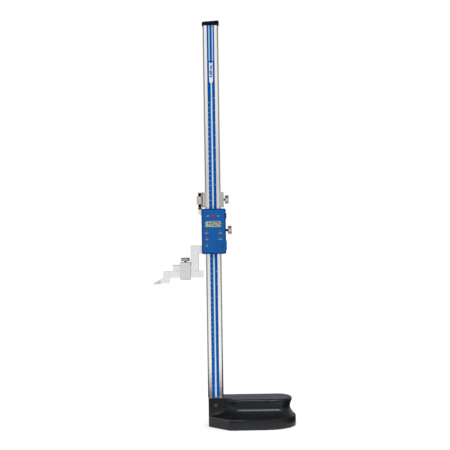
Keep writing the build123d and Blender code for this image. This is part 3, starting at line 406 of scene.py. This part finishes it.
def beam_steel():
    finish = ground("beam_steel", "z", BEAM_ROUGH)[0]
    from_middle = abs(finish.place("X"))
    bevel = finish.ease(from_middle, BEVEL_START - 0.2 * MM, BEVEL_START + 0.3 * MM)
    streaks = finish.noise((900, 900, 9), 2.0, 3.0)
    face = finish.mix(finish.ease(streaks, 0.3, 0.7), rgb(236, 231, 228), rgb(246, 242, 239))
    # Painted shade: the bevels' colour is written far darker than the face's.
    bevel_painted_shade = finish.mix(streaks, rgb(128, 126, 125), rgb(152, 150, 149))
    finish.feed("Base Color", finish.mix(bevel, face, bevel_painted_shade))
    return finish.material


print("bevel from", round(BEVEL_START / MM, 1), "mm out")

# %% [markdown]
# Moulded plastic has a fine spark-eroded grain from its tool. A gentle bump and slightly uneven
# gloss are enough; the colour itself barely changes.


# %% Plastic
def plastic(name, colour, rough=0.42, relief=0.03 * MM, gloss=0.08):
    finish = Finish(name, {"Specular IOR Level": gloss})
    pits = finish.noise((2600, 2600, 2600))
    cloud = finish.noise((60, 60, 60), 2.0, 7.0)
    finish.feed("Base Color", finish.mix(cloud * 0.5 + pits * 0.5, dimmer(colour, 0.84), colour))
    finish.feed("Roughness", rough + pits * 0.12)
    finish.bump(pits, relief)
    return finish.material


black_plastic = plastic("black_plastic", rgb(13, 12, 12))
print("finishes so far:", len(bpy.data.materials))

# %% [markdown]
# Ink on film is flat and even, with a soft sheen. A trace of cloudiness keeps it from looking
# like a plain fill.


# %% Printed film
def ink(name, colour, rough=0.4, spread=0.92, gloss=0.05):
    finish = Finish(name, {"Specular IOR Level": gloss})
    cloud = finish.noise((140, 140, 140), 3.0)
    finish.feed("Base Color", finish.mix(cloud, dimmer(colour, spread), colour))
    finish.feed("Roughness", rough + cloud * 0.08)
    return finish.material


mark_ink = ink("mark_ink", rgb(190, 216, 238))
print("finishes so far:", len(bpy.data.materials))

# %% [markdown]
# Screws, brass and contacts are small, so a patchy colour from oil and handling says more than
# scratches would. The clamp's screw is a little rougher than the two lock screws, and its colour is
# painted darker, as painted shade.


# %% Small metals
def small_metal(name, colour, rough=0.32, spread=0.7):
    finish = Finish(name, {"Metallic": 1.0})
    patches = finish.ease(finish.noise((420, 420, 420), 3.0), 0.3, 0.7)
    finish.feed("Base Color", finish.mix(patches, dimmer(colour, spread), colour))
    finish.feed("Roughness", rough + patches * 0.12)
    return finish.material


oxide = small_metal("black_oxide", rgb(40, 39, 41), 0.34)
knurled_steel = small_metal("knurled_steel", rgb(216, 212, 208), 0.24, 0.66)
# Painted shade: the clamp screw's knurl is the lock screws' steel, written darker.
shaded_knurl = small_metal("shaded_knurl", rgb(186, 182, 178), 0.26, 0.6)
print("finishes so far:", len(bpy.data.materials))

# %% [markdown]
# The window over the digits is thin clear plastic. Real refraction through so thin a sheet only
# adds noise and darkens what lies behind. A low Alpha shows the digits plainly, and the little
# that stays of the surface gives the sheen.


# %% Clear window
def clear_window():
    finish = Finish("clear_window", {"Alpha": 0.08})
    smear = finish.noise((180, 180, 180))
    finish.feed("Base Color", finish.mix(smear, rgb(205, 212, 206), rgb(232, 238, 232)))
    finish.feed("Roughness", 0.06 + smear * 0.08)
    finish.material.surface_render_method = "DITHERED"
    return finish.material


print("finish makers ready")

# %% [markdown]
# ## Dress the CAD pieces
# A CAD piece whose shape is right only needs its finish, which replaces whatever it came with.
# Steel is written a little brighter than it should look, since it mirrors grey cards too.

# %% Choose each piece's finish
PANEL_BLUE = rgb(28, 94, 166)
CASE_BLUE = rgb(2, 68, 144)
STRIP_BLUE = rgb(2, 84, 164)
LCD_GREY = rgb(201, 211, 195)
LCD_DARK = rgb(8, 10, 10)
BRASS = rgb(196, 160, 92)

frame_steel = ground_steel("frame_steel", "z", rgb(242, 242, 244), rgb(230, 230, 232))
carriage_steel = ground_steel(
    "carriage_steel", "z", rgb(196, 194, 193), rgb(174, 172, 171), 0.34
)
case_plastic = plastic("case_blue", CASE_BLUE, 0.34, gloss=0.02)
battery_blue = plastic("battery_cover_blue", rgb(20, 92, 166), 0.4)

finishes = {
    "base_casting": black_paint(),
    "beam": beam_steel(),
    "scale_strip": ink("strip_blue", STRIP_BLUE, 0.35, gloss=0.02),
    "column_screws": oxide,
    "beam_set_screw": small_metal("set_screw_steel", rgb(120, 112, 106), 0.36),
    "cap_screws": oxide,
    "slider_frame": frame_steel,
    "slider_gib": small_metal("gib_brass", BRASS),
    "gib_screws": oxide,
    # Painted shade: the collar is brass like the gibs, written far darker.
    "rod_collar": small_metal("collar_brass_painted_shade", rgb(104, 84, 54), 0.4),
    "reading_head": black_plastic,
    "display_back_plate": small_metal("back_plate_alloy", rgb(190, 190, 194), 0.4),
    "circuit_board": ink("board_green", rgb(30, 104, 62), 0.3),
    "key_switches": black_plastic,
    "lcd_panel": ink("lcd_glass", LCD_GREY, 0.22, 0.9),
    "lcd_connectors": plastic("contact_rubber", rgb(150, 150, 148), 0.6),
    "lcd_window": clear_window(),
    "display_case": case_plastic,
    "case_screws": oxide,
    "face_panel": ink("panel_film", PANEL_BLUE, 0.42),
    "battery": small_metal("cell_steel", rgb(205, 205, 206), 0.22),
    "battery_contacts": small_metal("contact_brass", rgb(206, 178, 120), 0.25),
    "battery_cover": battery_blue,
    "data_port": black_plastic,
    "data_port_cover": case_plastic,
    "fine_carriage": carriage_steel,
    "carriage_gib": small_metal("carriage_gib_brass", BRASS),
    "scriber_bar": ground_steel("scriber_steel", "x", rgb(243, 243, 245), rgb(231, 231, 233)),
    "scriber_tip": ground_steel("carbide", "x", rgb(218, 218, 222), rgb(200, 200, 204), 0.22),
    "scriber_clamp": ground_steel("clamp_steel", "z", rgb(230, 228, 227), rgb(214, 212, 211), 0.32),
}
for name, material in finishes.items():
    mesh = nodes[name].data
    mesh.materials.clear()
    mesh.materials.append(material)
print("dressed:", len(finishes), "of", len(nodes))

# %% [markdown]
# ## Adding a piece
# A new piece is made in a bmesh, then given a finish and a body to ride on. One helper does the
# same few steps for all, so nothing is left unplaced. A second one puts a part into a piece.


# %% Add a piece
SHARP = radians(34)
CLOSE = 1e-7  # points nearer than this, in metres, are one


def add_piece(name, bm, body, material, slot, stands_for=(), smooth=False):
    """Makes the object, gives it its body and hides the CAD nodes that it stands for. The slot is
    not used.
    """
    bmesh.ops.remove_doubles(bm, verts=bm.verts[:], dist=CLOSE)
    bmesh.ops.recalc_face_normals(bm, faces=bm.faces[:])
    mesh = bpy.data.meshes.new(name)
    bm.to_mesh(mesh)
    bm.free()
    mesh.materials.append(material)
    if smooth:
        mesh.shade_smooth()
        mesh.set_sharp_from_angle(angle=SHARP)
    piece = bpy.data.objects.new(name, mesh)
    bpy.context.scene.collection.objects.link(piece)
    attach(piece, body)
    for node in stands_for:
        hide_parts(node)
    print(f"{name}: {len(mesh.polygons)} faces")


def put(bm, part, place):
    """Moves a part to its place and adds it to a piece."""
    bmesh.ops.transform(part, matrix=place, verts=part.verts[:])
    mesh = bpy.data.meshes.new("part")
    part.to_mesh(mesh)
    part.free()
    bm.from_mesh(mesh)
    bpy.data.meshes.remove(mesh)


def block(bm, centre, size):
    """A box whose middle and size along X, Y and Z are given."""
    place = Matrix.Translation(centre) @ Matrix.Diagonal((*size, 1))
    bmesh.ops.create_cube(bm, size=1, matrix=place)


def new_points(result):
    return [item for item in result["geom"] if isinstance(item, bmesh.types.BMVert)]


print("edges sharper than", round(degrees(SHARP)), "degrees stay sharp")

# %% [markdown]
# ## Cap
# The moulded cap's two top corners are well rounded. Its CAD mesh is copied, and each corner is
# taken off with a few straight cuts that touch one circle, as a file would round it. A bevel would
# have to fight the triangles that a CAD mesh is made of.

# %% Cap
CAD_CLOSE = 1e-6
CORNER = 3.2 * MM
CUTS = 6
SLOPE_DROP = 2.4 * MM  # from the cap's right end to its left
cap_low, cap_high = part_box("beam_cap")
bm = bmesh.new()
bm.from_mesh(nodes["beam_cap"].data)
bmesh.ops.remove_doubles(bm, verts=bm.verts[:], dist=CAD_CLOSE)
for side, out, top in ((-1, cap_low.x, cap_high.z - SLOPE_DROP), (1, cap_high.x, cap_high.z)):
    centre = Vector((out - side * CORNER, 0, top - CORNER))
    for cut in range(1, CUTS):
        angle = radians(90) * cut / CUTS
        towards = Vector((side * cos(angle), 0, sin(angle)))
        whole = bm.verts[:] + bm.edges[:] + bm.faces[:]
        plane = {"plane_co": centre + towards * CORNER, "plane_no": towards, "clear_outer": True}
        sawn = bmesh.ops.bisect_plane(bm, geom=whole, dist=CLOSE, **plane)["geom_cut"]
        rim = [item for item in sawn if isinstance(item, bmesh.types.BMEdge)]
        if rim:
            bmesh.ops.contextual_create(bm, geom=rim)
add_piece("cap_rounded", bm, "base", black_plastic, "black_plastic", ["beam_cap"], True)

# %% [markdown]
# ## Knurled heads
# A thumb screw's grip is a straight knurl: ridges pressed round the rim so that oily fingers hold
# it. A ring of points with every second one pulled in, then extruded upwards ring by ring, gives
# real ridges that catch the light. A bump alone would leave the outline smooth.

# %% A knurled rim
TOOTH = 1.1 * MM
TOOTH_DEPTH = 0.16 * MM
AROUND = 40  # steps in a whole turn


def stack_rings(bm, rings, points, tooth_share):
    """Extrudes a ring up through (radius, height, is it knurled) and closes both ends."""
    radius, height, _ = rings[0]
    start = Matrix.Translation((0, 0, height))
    bmesh.ops.create_circle(bm, cap_ends=True, segments=points, radius=radius, matrix=start)
    edges = bm.edges[:]
    for radius, height, knurled in rings[1:]:
        grown = bmesh.ops.extrude_edge_only(bm, edges=edges)
        verts = new_points(grown)
        edges = [
            item for item in grown["geom"]
            if isinstance(item, bmesh.types.BMEdge) and all(v in verts for v in item.verts)
        ]
        verts.sort(key=lambda v: atan2(v.co.y, v.co.x))
        for number, vert in enumerate(verts):
            reach = radius * (1 - tooth_share if knurled and number % 2 else 1)
            angle = atan2(vert.co.y, vert.co.x)
            vert.co = (reach * cos(angle), reach * sin(angle), height)
    bmesh.ops.contextual_create(bm, geom=edges)


def turned(bm, profile, steps=AROUND):
    """Spins a line of (radius, height) points round Z into a closed solid."""
    verts = [bm.verts.new((radius, 0, height)) for radius, height in profile]
    edges = [bm.edges.new(pair) for pair in zip(verts, verts[1:])]
    whole_turn = {"cent": (0, 0, 0), "axis": (0, 0, 1), "angle": tau, "use_merge": True}
    bmesh.ops.spin(bm, geom=verts + edges, steps=steps, **whole_turn)


print("teeth are", round(TOOTH / MM, 2), "mm apart and", round(TOOTH_DEPTH / MM, 2), "mm deep")

# %% [markdown]
# Each thumb screw is a head with softened rims and a shallow dish, and a plain shank of the same
# steel that is painted black, as painted shade in the gap under the head. One function makes all
# three, from the CAD screw's box and the way it points.

# %% The three thumb screws
SHANK = 2.5 * MM
RIM = 0.9 * MM
RIM_RISE = RIM * 0.8
UNDERSIDE = 0.62  # radius of its closing disc, as a share of the flat's
DISH = 5.0 * MM
DISH_DEPTH = 0.6 * MM
DISH_MIDDLE = DISH * 0.3
CHAMFER = 0.3 * MM
LOCK_HEAD = 7.6 * MM
CLAMP_HEAD = 6.8 * MM


def thumb_screw(name, body, sideways, head_length, metal):
    """Points along X if sideways, or else up. The head's length is given, the rest measured."""
    low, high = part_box(name)
    along = Vector((1, 0, 0)) if sideways else Vector((0, 0, 1))
    radius = (high.y - low.y) / 2
    total = (high - low).dot(along)
    neck = total - head_length
    inner = radius - RIM
    rings = [
        (inner * UNDERSIDE, 0, False),
        (inner, 0, False),
        (radius, RIM_RISE, True),
        (radius, head_length - RIM_RISE, True),
        (inner, head_length, False),
        (DISH, head_length, False),
        (DISH - DISH_DEPTH, head_length - DISH_DEPTH, False),
        (DISH_MIDDLE, head_length - DISH_DEPTH, False),
    ]
    turn = Matrix.Rotation(radians(90), 4, "Y") if sideways else Matrix.Identity(4)
    place = Matrix.Translation((low + high) / 2 + along * (total / 2 - head_length)) @ turn
    head = bmesh.new()
    stack_rings(head, rings, int(tau * radius / TOOTH) * 2, TOOTH_DEPTH / radius)
    bmesh.ops.transform(head, matrix=place, verts=head.verts[:])
    add_piece(f"{name}_head", head, body, metal, "knurled_steel", [name], True)
    shank = bmesh.new()
    tip = [(0, -neck), (SHANK - CHAMFER, -neck), (SHANK, CHAMFER - neck)]
    turned(shank, [*tip, (SHANK, 0), (0, 0)])
    bmesh.ops.transform(shank, matrix=place, verts=shank.verts[:])
    # Painted shade: the shank is the head's steel, written in black oxide.
    add_piece(f"{name}_shank", shank, body, oxide, "knurled_steel", [name], True)


thumb_screw("slider_lock_screw", "slider_lock", True, LOCK_HEAD, knurled_steel)
thumb_screw("carriage_lock_screw", "carriage_lock", True, LOCK_HEAD, knurled_steel)
thumb_screw("clamp_screw", "clamp_lock", False, CLAMP_HEAD, shaded_knurl)

# %% [markdown]
# ## Adjusting nut and threaded rod
# The nut is a knurled cylinder in the carriage's fork, and turning it on the rod moves the slider
# by hundredths of a millimetre. It is a stack of rings too, that goes up outside and down inside.

# %% Adjusting nut
nut_low, nut_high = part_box("adjusting_nut")
nut_middle = (nut_low + nut_high) / 2
NUT_RADIUS = (nut_high.x - nut_low.x) / 2
NUT_LENGTH = nut_high.z - nut_low.z
ROD_AXIS = Vector((nut_middle.x, nut_middle.y, 0))
NUT_PLAY = 0.05 * MM
rim = NUT_RADIUS - RIM
bore = SHANK + NUT_PLAY
rings = [
    (bore, 0, False),
    (rim, 0, False),
    (NUT_RADIUS, RIM, True),
    (NUT_RADIUS, NUT_LENGTH - RIM, True),
    (rim, NUT_LENGTH, False),
    (bore, NUT_LENGTH, False),
    (bore, 0, False),
]
bm = bmesh.new()
stack_rings(bm, rings, int(tau * NUT_RADIUS / TOOTH) * 2, TOOTH_DEPTH / NUT_RADIUS)
ends = [face for face in bm.faces if len(face.verts) > 4]
bmesh.ops.delete(bm, geom=ends, context="FACES_ONLY")
bmesh.ops.translate(bm, vec=ROD_AXIS + Vector((0, 0, nut_low.z)), verts=bm.verts[:])
nut = ("adjusting_nut", knurled_steel, "knurled_steel", ["adjusting_nut"])
add_piece("nut_knurled", bm, *nut, True)

# %% [markdown]
# Spinning one V of thread while it climbs makes the whole screw in one operator. A plain core
# closes its root. The rod ends just below the top of the carriage.

# %% Threaded rod
PITCH = 0.8 * MM
THREAD_DEPTH = 0.42 * MM
CREST = (0.44, 0.56)  # where the flat crest starts and ends, in pitches
SINK = 0.03 * MM  # how far the core reaches into the thread
STEPS = 20
ROD_END = 0.5 * MM
ROD_BELOW_CARRIAGE = 2.0 * MM

rod_low, rod_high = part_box("threaded_rod")
rod_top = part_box("fine_carriage")[1].z - ROD_BELOW_CARRIAGE
rod_radius = (rod_high.x - rod_low.x) / 2
root = rod_radius - THREAD_DEPTH
start = rod_low.z + ROD_END
turns = int((rod_top - start - ROD_END) / PITCH) - 1
crest = [(rod_radius, PITCH * share) for share in CREST]
flank = [(root, 0), *crest, (root, PITCH)]
bm = bmesh.new()
verts = [bm.verts.new((radius, 0, start + rise)) for radius, rise in flank]
edges = [bm.edges.new(pair) for pair in zip(verts, verts[1:])]
climb = {"cent": (0, 0, 0), "axis": (0, 0, 1), "dvec": (0, 0, PITCH / STEPS)}
bmesh.ops.spin(bm, geom=verts + edges, angle=tau * turns, steps=STEPS * turns, **climb)
core = root + SINK
bottom_end = [(0, rod_low.z), (core - ROD_END, rod_low.z), (core, start)]
top_end = [(core, rod_top - ROD_END), (core - ROD_END, rod_top), (0, rod_top)]
turned(bm, bottom_end + top_end)
bmesh.ops.translate(bm, vec=ROD_AXIS, verts=bm.verts[:])
add_piece("rod_thread", bm, "slider", oxide, "black_steel", ["threaded_rod"], True)
print("turns of thread:", turns)

# %% [markdown]
# ## Slotted fork screws
# Two tiny screws sit beside the nut. Each has a low head with one sawn slot. Two half discs stand
# on a thin whole one, a slot apart, which gives a real slot with open ends.

# %% Fork screws
HEAD = 1.4 * MM
HEAD_HEIGHT = 0.9 * MM
NECK = HEAD * 0.7
NECK_LENGTH = 2 * MM
SLOT = 0.45 * MM
SLOT_DEPTH = 0.5 * MM
SLOT_TURN = radians(25)
HEAD_STEPS = 24


def half_disc(side):
    """The half of a disc on one side of the slot, lifted to its height."""
    part = bmesh.new()
    bmesh.ops.create_circle(part, cap_ends=True, segments=HEAD_STEPS, radius=HEAD)
    whole = part.verts[:] + part.edges[:] + part.faces[:]
    plane = {"plane_co": (0, side * SLOT / 2, 0), "plane_no": (0, -side, 0), "clear_outer": True}
    bmesh.ops.bisect_plane(part, geom=whole, dist=CLOSE, **plane)
    grown = bmesh.ops.extrude_face_region(part, geom=part.faces[:])
    bmesh.ops.translate(part, vec=(0, 0, SLOT_DEPTH), verts=new_points(grown))
    return part


screw_low, screw_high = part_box("fork_screws")
floor_height = HEAD_HEIGHT - SLOT_DEPTH
bm = bmesh.new()
for z in (screw_low.z + HEAD, screw_high.z - HEAD):
    middle = ((screw_low.x + screw_high.x) / 2, screw_low.y + HEAD_HEIGHT, z)
    stand = Matrix.Translation(middle) @ Matrix.Rotation(radians(90), 4, "X")
    turn = stand @ Matrix.Rotation(SLOT_TURN, 4, "Z")
    disc = bmesh.new()
    neck = [(0, -NECK_LENGTH), (NECK, -NECK_LENGTH), (NECK, 0)]
    turned(disc, [*neck, (HEAD, 0), (HEAD, floor_height), (0, floor_height)], HEAD_STEPS)
    put(bm, disc, turn)
    for side in (-1, 1):
        put(bm, half_disc(side), turn @ Matrix.Translation((0, 0, floor_height)))
add_piece("fork_screw_heads", bm, "fine_carriage", oxide, "black_steel", ["fork_screws"], True)

# %% [markdown]
# ## The printed scale
# The strip is dark blue with a light line down the middle, millimetres on the left and inches on
# the right. Every mark is a thin box of ink that stands just proud of the strip, so it stays sharp
# however close the view is. A painted texture would blur on a strip fifty times as long as wide.

# %% Places on the strip
strip_low, strip_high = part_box("scale_strip")
STRIP_FACE = strip_low.y
INK = 0.03 * MM
ZERO_Z = 62.3 * MM
FULL_SCALE = 600  # millimetres
FULL_INCHES = 24
INCH = 25.4 * MM
PRINT_TOP = 702 * MM
LINE_LEFT = -0.8 * MM
LINE_RIGHT = 1.7 * MM


def ink_box(bm, x, z):
    """A flat patch of ink between two X and two Z."""
    centre = ((x[0] + x[1]) / 2, STRIP_FACE - INK / 2, (z[0] + z[1]) / 2)
    block(bm, centre, (x[1] - x[0], INK, z[1] - z[0]))


print("zero of the scale is", round(ZERO_Z / MM, 1), "mm above the table")

# %% [markdown]
# Above the scale, two broad light stripes run up to the cap, with the blue showing between them.

# %% Light stripes
UPPER_BOTTOM = 748 * MM
UPPER_STRIPES = ((-4.2, -1.8), (2.4, 4.9))  # from and to, in millimetres
bm = bmesh.new()
ink_box(bm, (LINE_LEFT, LINE_RIGHT), (strip_low.z, PRINT_TOP))
add_piece("centre_line", bm, "base", ink("centre_line_ink", rgb(216, 236, 250)), "scale_print")
bm = bmesh.new()
for left, right in UPPER_STRIPES:
    ink_box(bm, (left * MM, right * MM), (UPPER_BOTTOM, strip_high.z))
add_piece("upper_stripes", bm, "base", ink("stripe_ink", rgb(170, 208, 234)), "scale_print")

# %% [markdown]
# The white label near the top has a notched upper edge and a pointed foot. It starts as a grid
# whose middle column of points is moved down, which makes the notch and the point together.

# %% Label
LABEL_TOP = 746 * MM
LABEL_NOTCH = 4 * MM
LABEL_SHOULDER = 706 * MM
LABEL_POINT = 699.5 * MM
LABEL_HALF = 3.7 * MM
bm = bmesh.new()
bmesh.ops.create_grid(bm, x_segments=2, y_segments=1, size=0.5)
for vert in bm.verts:
    upper, centre = vert.co.y > 0, abs(vert.co.x) < 0.1
    z = LABEL_TOP if upper else LABEL_SHOULDER
    if centre:
        z = LABEL_TOP - LABEL_NOTCH if upper else LABEL_POINT
    vert.co = (vert.co.x * 2 * LABEL_HALF, STRIP_FACE - INK, z)
grown = bmesh.ops.extrude_face_region(bm, geom=bm.faces[:])
bmesh.ops.translate(bm, vec=(0, INK, 0), verts=new_points(grown))
add_piece("strip_label", bm, "base", ink("label_white", rgb(240, 243, 246)), "scale_print")

# %% [markdown]
# The marks are drawn by two loops, one in millimetres and one in tenths of an inch. Every fifth
# and tenth mark reaches further, as on any rule.

# %% Scale marks
MARK = 0.22 * MM
REACHES = (3.0 * MM, 2.2 * MM, 1.4 * MM)  # of each tenth, each fifth and any other mark
INCH_REACHES = (2.4 * MM, 1.7 * MM, 1.1 * MM)


def scale_mark(bm, step, gap, edge, side, reaches):
    """One mark outwards from an edge of the centre line, so many gaps above zero."""
    reach = reaches[0 if step % 10 == 0 else 1 if step % 5 == 0 else 2]
    z = ZERO_Z + step * gap
    ink_box(bm, sorted((edge, edge + side * reach)), (z - MARK / 2, z + MARK / 2))


bm = bmesh.new()
for step in range(FULL_SCALE + 1):
    scale_mark(bm, step, MM, LINE_LEFT, -1, REACHES)
for step in range(FULL_INCHES * 10 + 1):
    scale_mark(bm, step, INCH / 10, LINE_RIGHT, 1, INCH_REACHES)
add_piece("scale_marks", bm, "base", mark_ink, "scale_print")

# %% [markdown]
# ## Numbers
# A number is a text curve turned into a mesh, then stood up on the strip. The curve's own extrude
# gives it the thickness of ink, and its offset makes the letters bolder.

# %% Lettering
CURVE_STEPS = 2


def lettering(bm, words, height, place, turn=0.0, bold=0.0):
    """Adds words whose middle is at a place, facing -Y."""
    curve = bpy.data.curves.new("words", "FONT")
    curve.body = words
    curve.size = height
    curve.align_x = "CENTER"
    curve.align_y = "CENTER"
    curve.extrude = INK / 2
    curve.offset = bold
    curve.resolution_u = CURVE_STEPS
    holder = bpy.data.objects.new("words", curve)
    bpy.context.scene.collection.objects.link(holder)
    bpy.context.view_layer.update()
    mesh = bpy.data.meshes.new_from_object(holder)
    upright = Matrix.Rotation(turn, 4, "Y") @ Matrix.Rotation(radians(90), 4, "X")
    mesh.transform(Matrix.Translation(place) @ upright)
    bm.from_mesh(mesh)
    bpy.data.objects.remove(holder)
    bpy.data.curves.remove(curve)
    bpy.data.meshes.remove(mesh)


print("ink is", round(INK / MM, 2), "mm thick")

# %% [markdown]
# Centimetres are numbered on the left and inches on the right, outside the marks.

# %% Numbers on the scale
SCALES = (  # how many numbers, how far apart, across, and their size
    (FULL_SCALE // 10, 10 * MM, -5.9 * MM, 2.9 * MM),
    (FULL_INCHES, INCH, 6.1 * MM, 2.4 * MM),
)
bm = bmesh.new()
for count, gap, x, size in SCALES:
    for number in range(1, count + 1):
        place = (x, STRIP_FACE - INK / 2, ZERO_Z + number * gap)
        lettering(bm, str(number), size, place)
add_piece("scale_numbers", bm, "base", mark_ink, "scale_print")

# %% [markdown]
# The label only says what the gauge measures, and it reads from the top down.

# %% Words on the label
LABEL_TEXT = 6.2 * MM
LABEL_BOLD = 0.42 * MM
LABEL_MIDDLE = (LABEL_TOP + LABEL_SHOULDER) / 2 + 1 * MM
bm = bmesh.new()
place = (0, STRIP_FACE - INK * 1.5, LABEL_MIDDLE)
lettering(bm, "0-600 mm", LABEL_TEXT, place, radians(-90), bold=LABEL_BOLD)
add_piece("label_words", bm, "base", ink("label_ink", rgb(4, 84, 166)), "scale_print")

# %% [markdown]
# ## Keys
# Each key is an oval of plastic with a softly rounded face. A square with its corners bevelled
# right round is an oval, and a second bevel rolls the front edge. A flange behind it keeps the
# key from falling out of the case.

# %% A rounded key
FLANGE = 0.6 * MM
FLANGE_THICKNESS = 0.8 * MM
KEY_ROLL = 0.45 * MM
END_ROUND = 0.49  # of the height: just under the half at which two corners would meet


def oval(width, height, depth, roll):
    """An oval disc standing on Z = 0, with its upper edge rolled."""
    part = bmesh.new()
    shape = Matrix.Diagonal((width, height, 1, 1))
    bmesh.ops.create_grid(part, x_segments=1, y_segments=1, size=0.5, matrix=shape)
    soft = {"profile": 0.5, "material": -1}
    ends = {"affect": "VERTICES", "segments": 7}
    bmesh.ops.bevel(part, geom=part.verts[:], offset=height * END_ROUND, **ends, **soft)
    grown = bmesh.ops.extrude_face_region(part, geom=part.faces[:])
    bmesh.ops.translate(part, vec=(0, 0, depth), verts=new_points(grown))
    if roll:
        edge = [e for e in part.edges if all(v.co.z > depth / 2 for v in e.verts)]
        bmesh.ops.bevel(part, geom=edge, offset=roll, affect="EDGES", segments=3, **soft)
    return part


def key_cap(name, body, material, slot):
    low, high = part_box(name)
    width, height = high.x - low.x, high.z - low.z
    flange_front = high.y - FLANGE_THICKNESS
    bm = bmesh.new()
    stand = Matrix.Rotation(radians(90), 4, "X")
    centre = Vector(((low.x + high.x) / 2, flange_front, (low.z + high.z) / 2))
    cap = oval(width - 2 * FLANGE, height - 2 * FLANGE, flange_front - low.y, KEY_ROLL)
    put(bm, cap, Matrix.Translation(centre) @ stand)
    centre.y = high.y
    put(bm, oval(width, height, FLANGE_THICKNESS, 0), Matrix.Translation(centre) @ stand)
    add_piece(f"{name}_cap", bm, body, material, slot, [name], True)


red = plastic("power_key_red", rgb(228, 6, 0), 0.3, 0.02 * MM, 0.04)
tan = plastic("key_tan", rgb(106, 104, 92), 0.5)
key_cap("power_key", "power_key", red, "red_key")
for number in range(1, 6):
    key_cap(f"key_{number}", f"key_{number}", tan, "tan_key")

# %% [markdown]
# ## Printing on the display
# Short words name each key. They ride on the slider, as thin ink on the film.

# %% Key labels
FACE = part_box("face_panel")[0].y - INK / 2
WORDS = {"key_1": "ZERO", "key_2": "ABS", "key_3": "SET", "key_4": "mm/in", "key_5": "HOLD"}
WORD_SIZE = 2.9 * MM
WORD_DROP = 1.9 * MM
POWER_WORD = 3.2 * MM
POWER_ASIDE = 10.5 * MM
WORD_BOLD = 0.05 * MM
bm = bmesh.new()
for key_name, words in WORDS.items():
    key_low, key_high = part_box(key_name)
    place = ((key_low.x + key_high.x) / 2, FACE, key_low.z - WORD_DROP)
    lettering(bm, words, WORD_SIZE, place, bold=WORD_BOLD)
power_low, power_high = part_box("power_key")
power_z = (power_low.z + power_high.z) / 2
for words, x in (("OFF", -POWER_ASIDE), ("ON", POWER_ASIDE)):
    lettering(bm, words, POWER_WORD, (x, FACE, power_z), bold=WORD_BOLD)
add_piece("panel_words", bm, "slider", ink("panel_ink", rgb(168, 198, 232)), "panel_film")

# %% [markdown]
# ## Digits
# A liquid-crystal digit has seven segments with pointed ends, leaning a little to the right. Each
# is a box whose ends are bevelled to a point. They lie behind the window on the display glass.

# %% Seven segments
DIGIT_HEIGHT = 7.6 * MM
DIGIT_WIDTH = 4.3 * MM
STROKE = 1.35 * MM
LCD_FILM = 0.04 * MM
LEAN = 0.1
GAP = 0.2  # between two segments, as a share of the stroke
POINT = 0.46  # of the stroke, off each corner
SEGMENTS = {"0": "abcdef", "1": "bc", "4": "bcfg", "5": "acdfg"}
PLACES = {  # across, up, and whether it stands upright
    "a": (0, 1, False),
    "b": (1, 0.5, True),
    "c": (1, -0.5, True),
    "d": (0, -1, False),
    "e": (-1, -0.5, True),
    "f": (-1, 0.5, True),
    "g": (0, 0, False),
}


def segment(bm, letter, place):
    """Adds one segment of the digit whose middle is at a place."""
    across, up, upright = PLACES[letter]
    length = (DIGIT_HEIGHT / 2 if upright else DIGIT_WIDTH) - STROKE * GAP
    part = bmesh.new()
    block(part, (0, 0, 0), (length, LCD_FILM, STROKE))
    ends = [e for e in part.edges if abs(e.verts[0].co.y - e.verts[1].co.y) > LCD_FILM / 2]
    point = {"affect": "EDGES", "segments": 1, "profile": 0.5, "material": -1}
    bmesh.ops.bevel(part, geom=ends, offset=STROKE * POINT, **point)
    turn = Matrix.Rotation(radians(90) if upright else 0, 4, "Y")
    shift = Matrix.Translation((across * DIGIT_WIDTH / 2, 0, up * DIGIT_HEIGHT / 2))
    lean = Matrix.Identity(4)
    lean[0][2] = LEAN
    put(bm, part, Matrix.Translation(place) @ lean @ shift @ turn)


print("segments in an 8.8.8:", 3 * len(PLACES))

# %% [markdown]
# The reading is spelt out digit by digit. The point takes no width of its own.

# %% The reading
READING = "145.04"
DIGIT_STEP = 6.0 * MM
lcd_low, lcd_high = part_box("lcd_panel")
window_low, window_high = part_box("lcd_window")
digit_y = lcd_low.y - LCD_FILM / 2
lcd_middle = (lcd_low.z + lcd_high.z) / 2
digit_count = len(READING) - 1
x = (window_low.x + window_high.x) / 2 - DIGIT_STEP * (digit_count - 1) / 2
bm = bmesh.new()
for mark in READING:
    if mark == ".":
        foot = lcd_middle - DIGIT_HEIGHT / 2
        block(bm, (x - DIGIT_STEP / 2 - LEAN * STROKE, digit_y, foot), (STROKE, LCD_FILM, STROKE))
        continue
    for letter in SEGMENTS[mark]:
        segment(bm, letter, (x, digit_y, lcd_middle))
    x += DIGIT_STEP
digit_ink = ink("lcd_digit_ink", LCD_DARK, 0.5)
add_piece("lcd_digits", bm, "slider", digit_ink, "lcd")

# %% [markdown]
# ## Battery cover grip
# The cover slides off sideways, so it has a few raised ribs for a thumb.

# %% Ribs
RIBS = 5
RIB_STEP = 1.5 * MM
RIB_SIZE = (0.7 * MM, 0.35 * MM, 8.5 * MM)
RIB_ROUND = 0.2 * MM
RIB_PROUD = 0.12 * MM
FIRST_RIB = 10.5 * MM
cover_low, cover_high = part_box("battery_cover")
bm = bmesh.new()
for number in range(RIBS):
    x = cover_low.x + FIRST_RIB + number * RIB_STEP
    rib = bmesh.new()
    block(rib, (0, 0, 0), RIB_SIZE)
    front = [e for e in rib.edges if all(v.co.y < 0 for v in e.verts)]
    soft = {"affect": "EDGES", "segments": 2, "profile": 0.5, "material": -1}
    bmesh.ops.bevel(rib, geom=front, offset=RIB_ROUND, **soft)
    place = (x, cover_low.y - RIB_PROUD, (cover_low.z + cover_high.z) / 2)
    put(bm, rib, Matrix.Translation(place))
add_piece("cover_ribs", bm, "battery_cover", battery_blue, "blue_plastic", smooth=True)
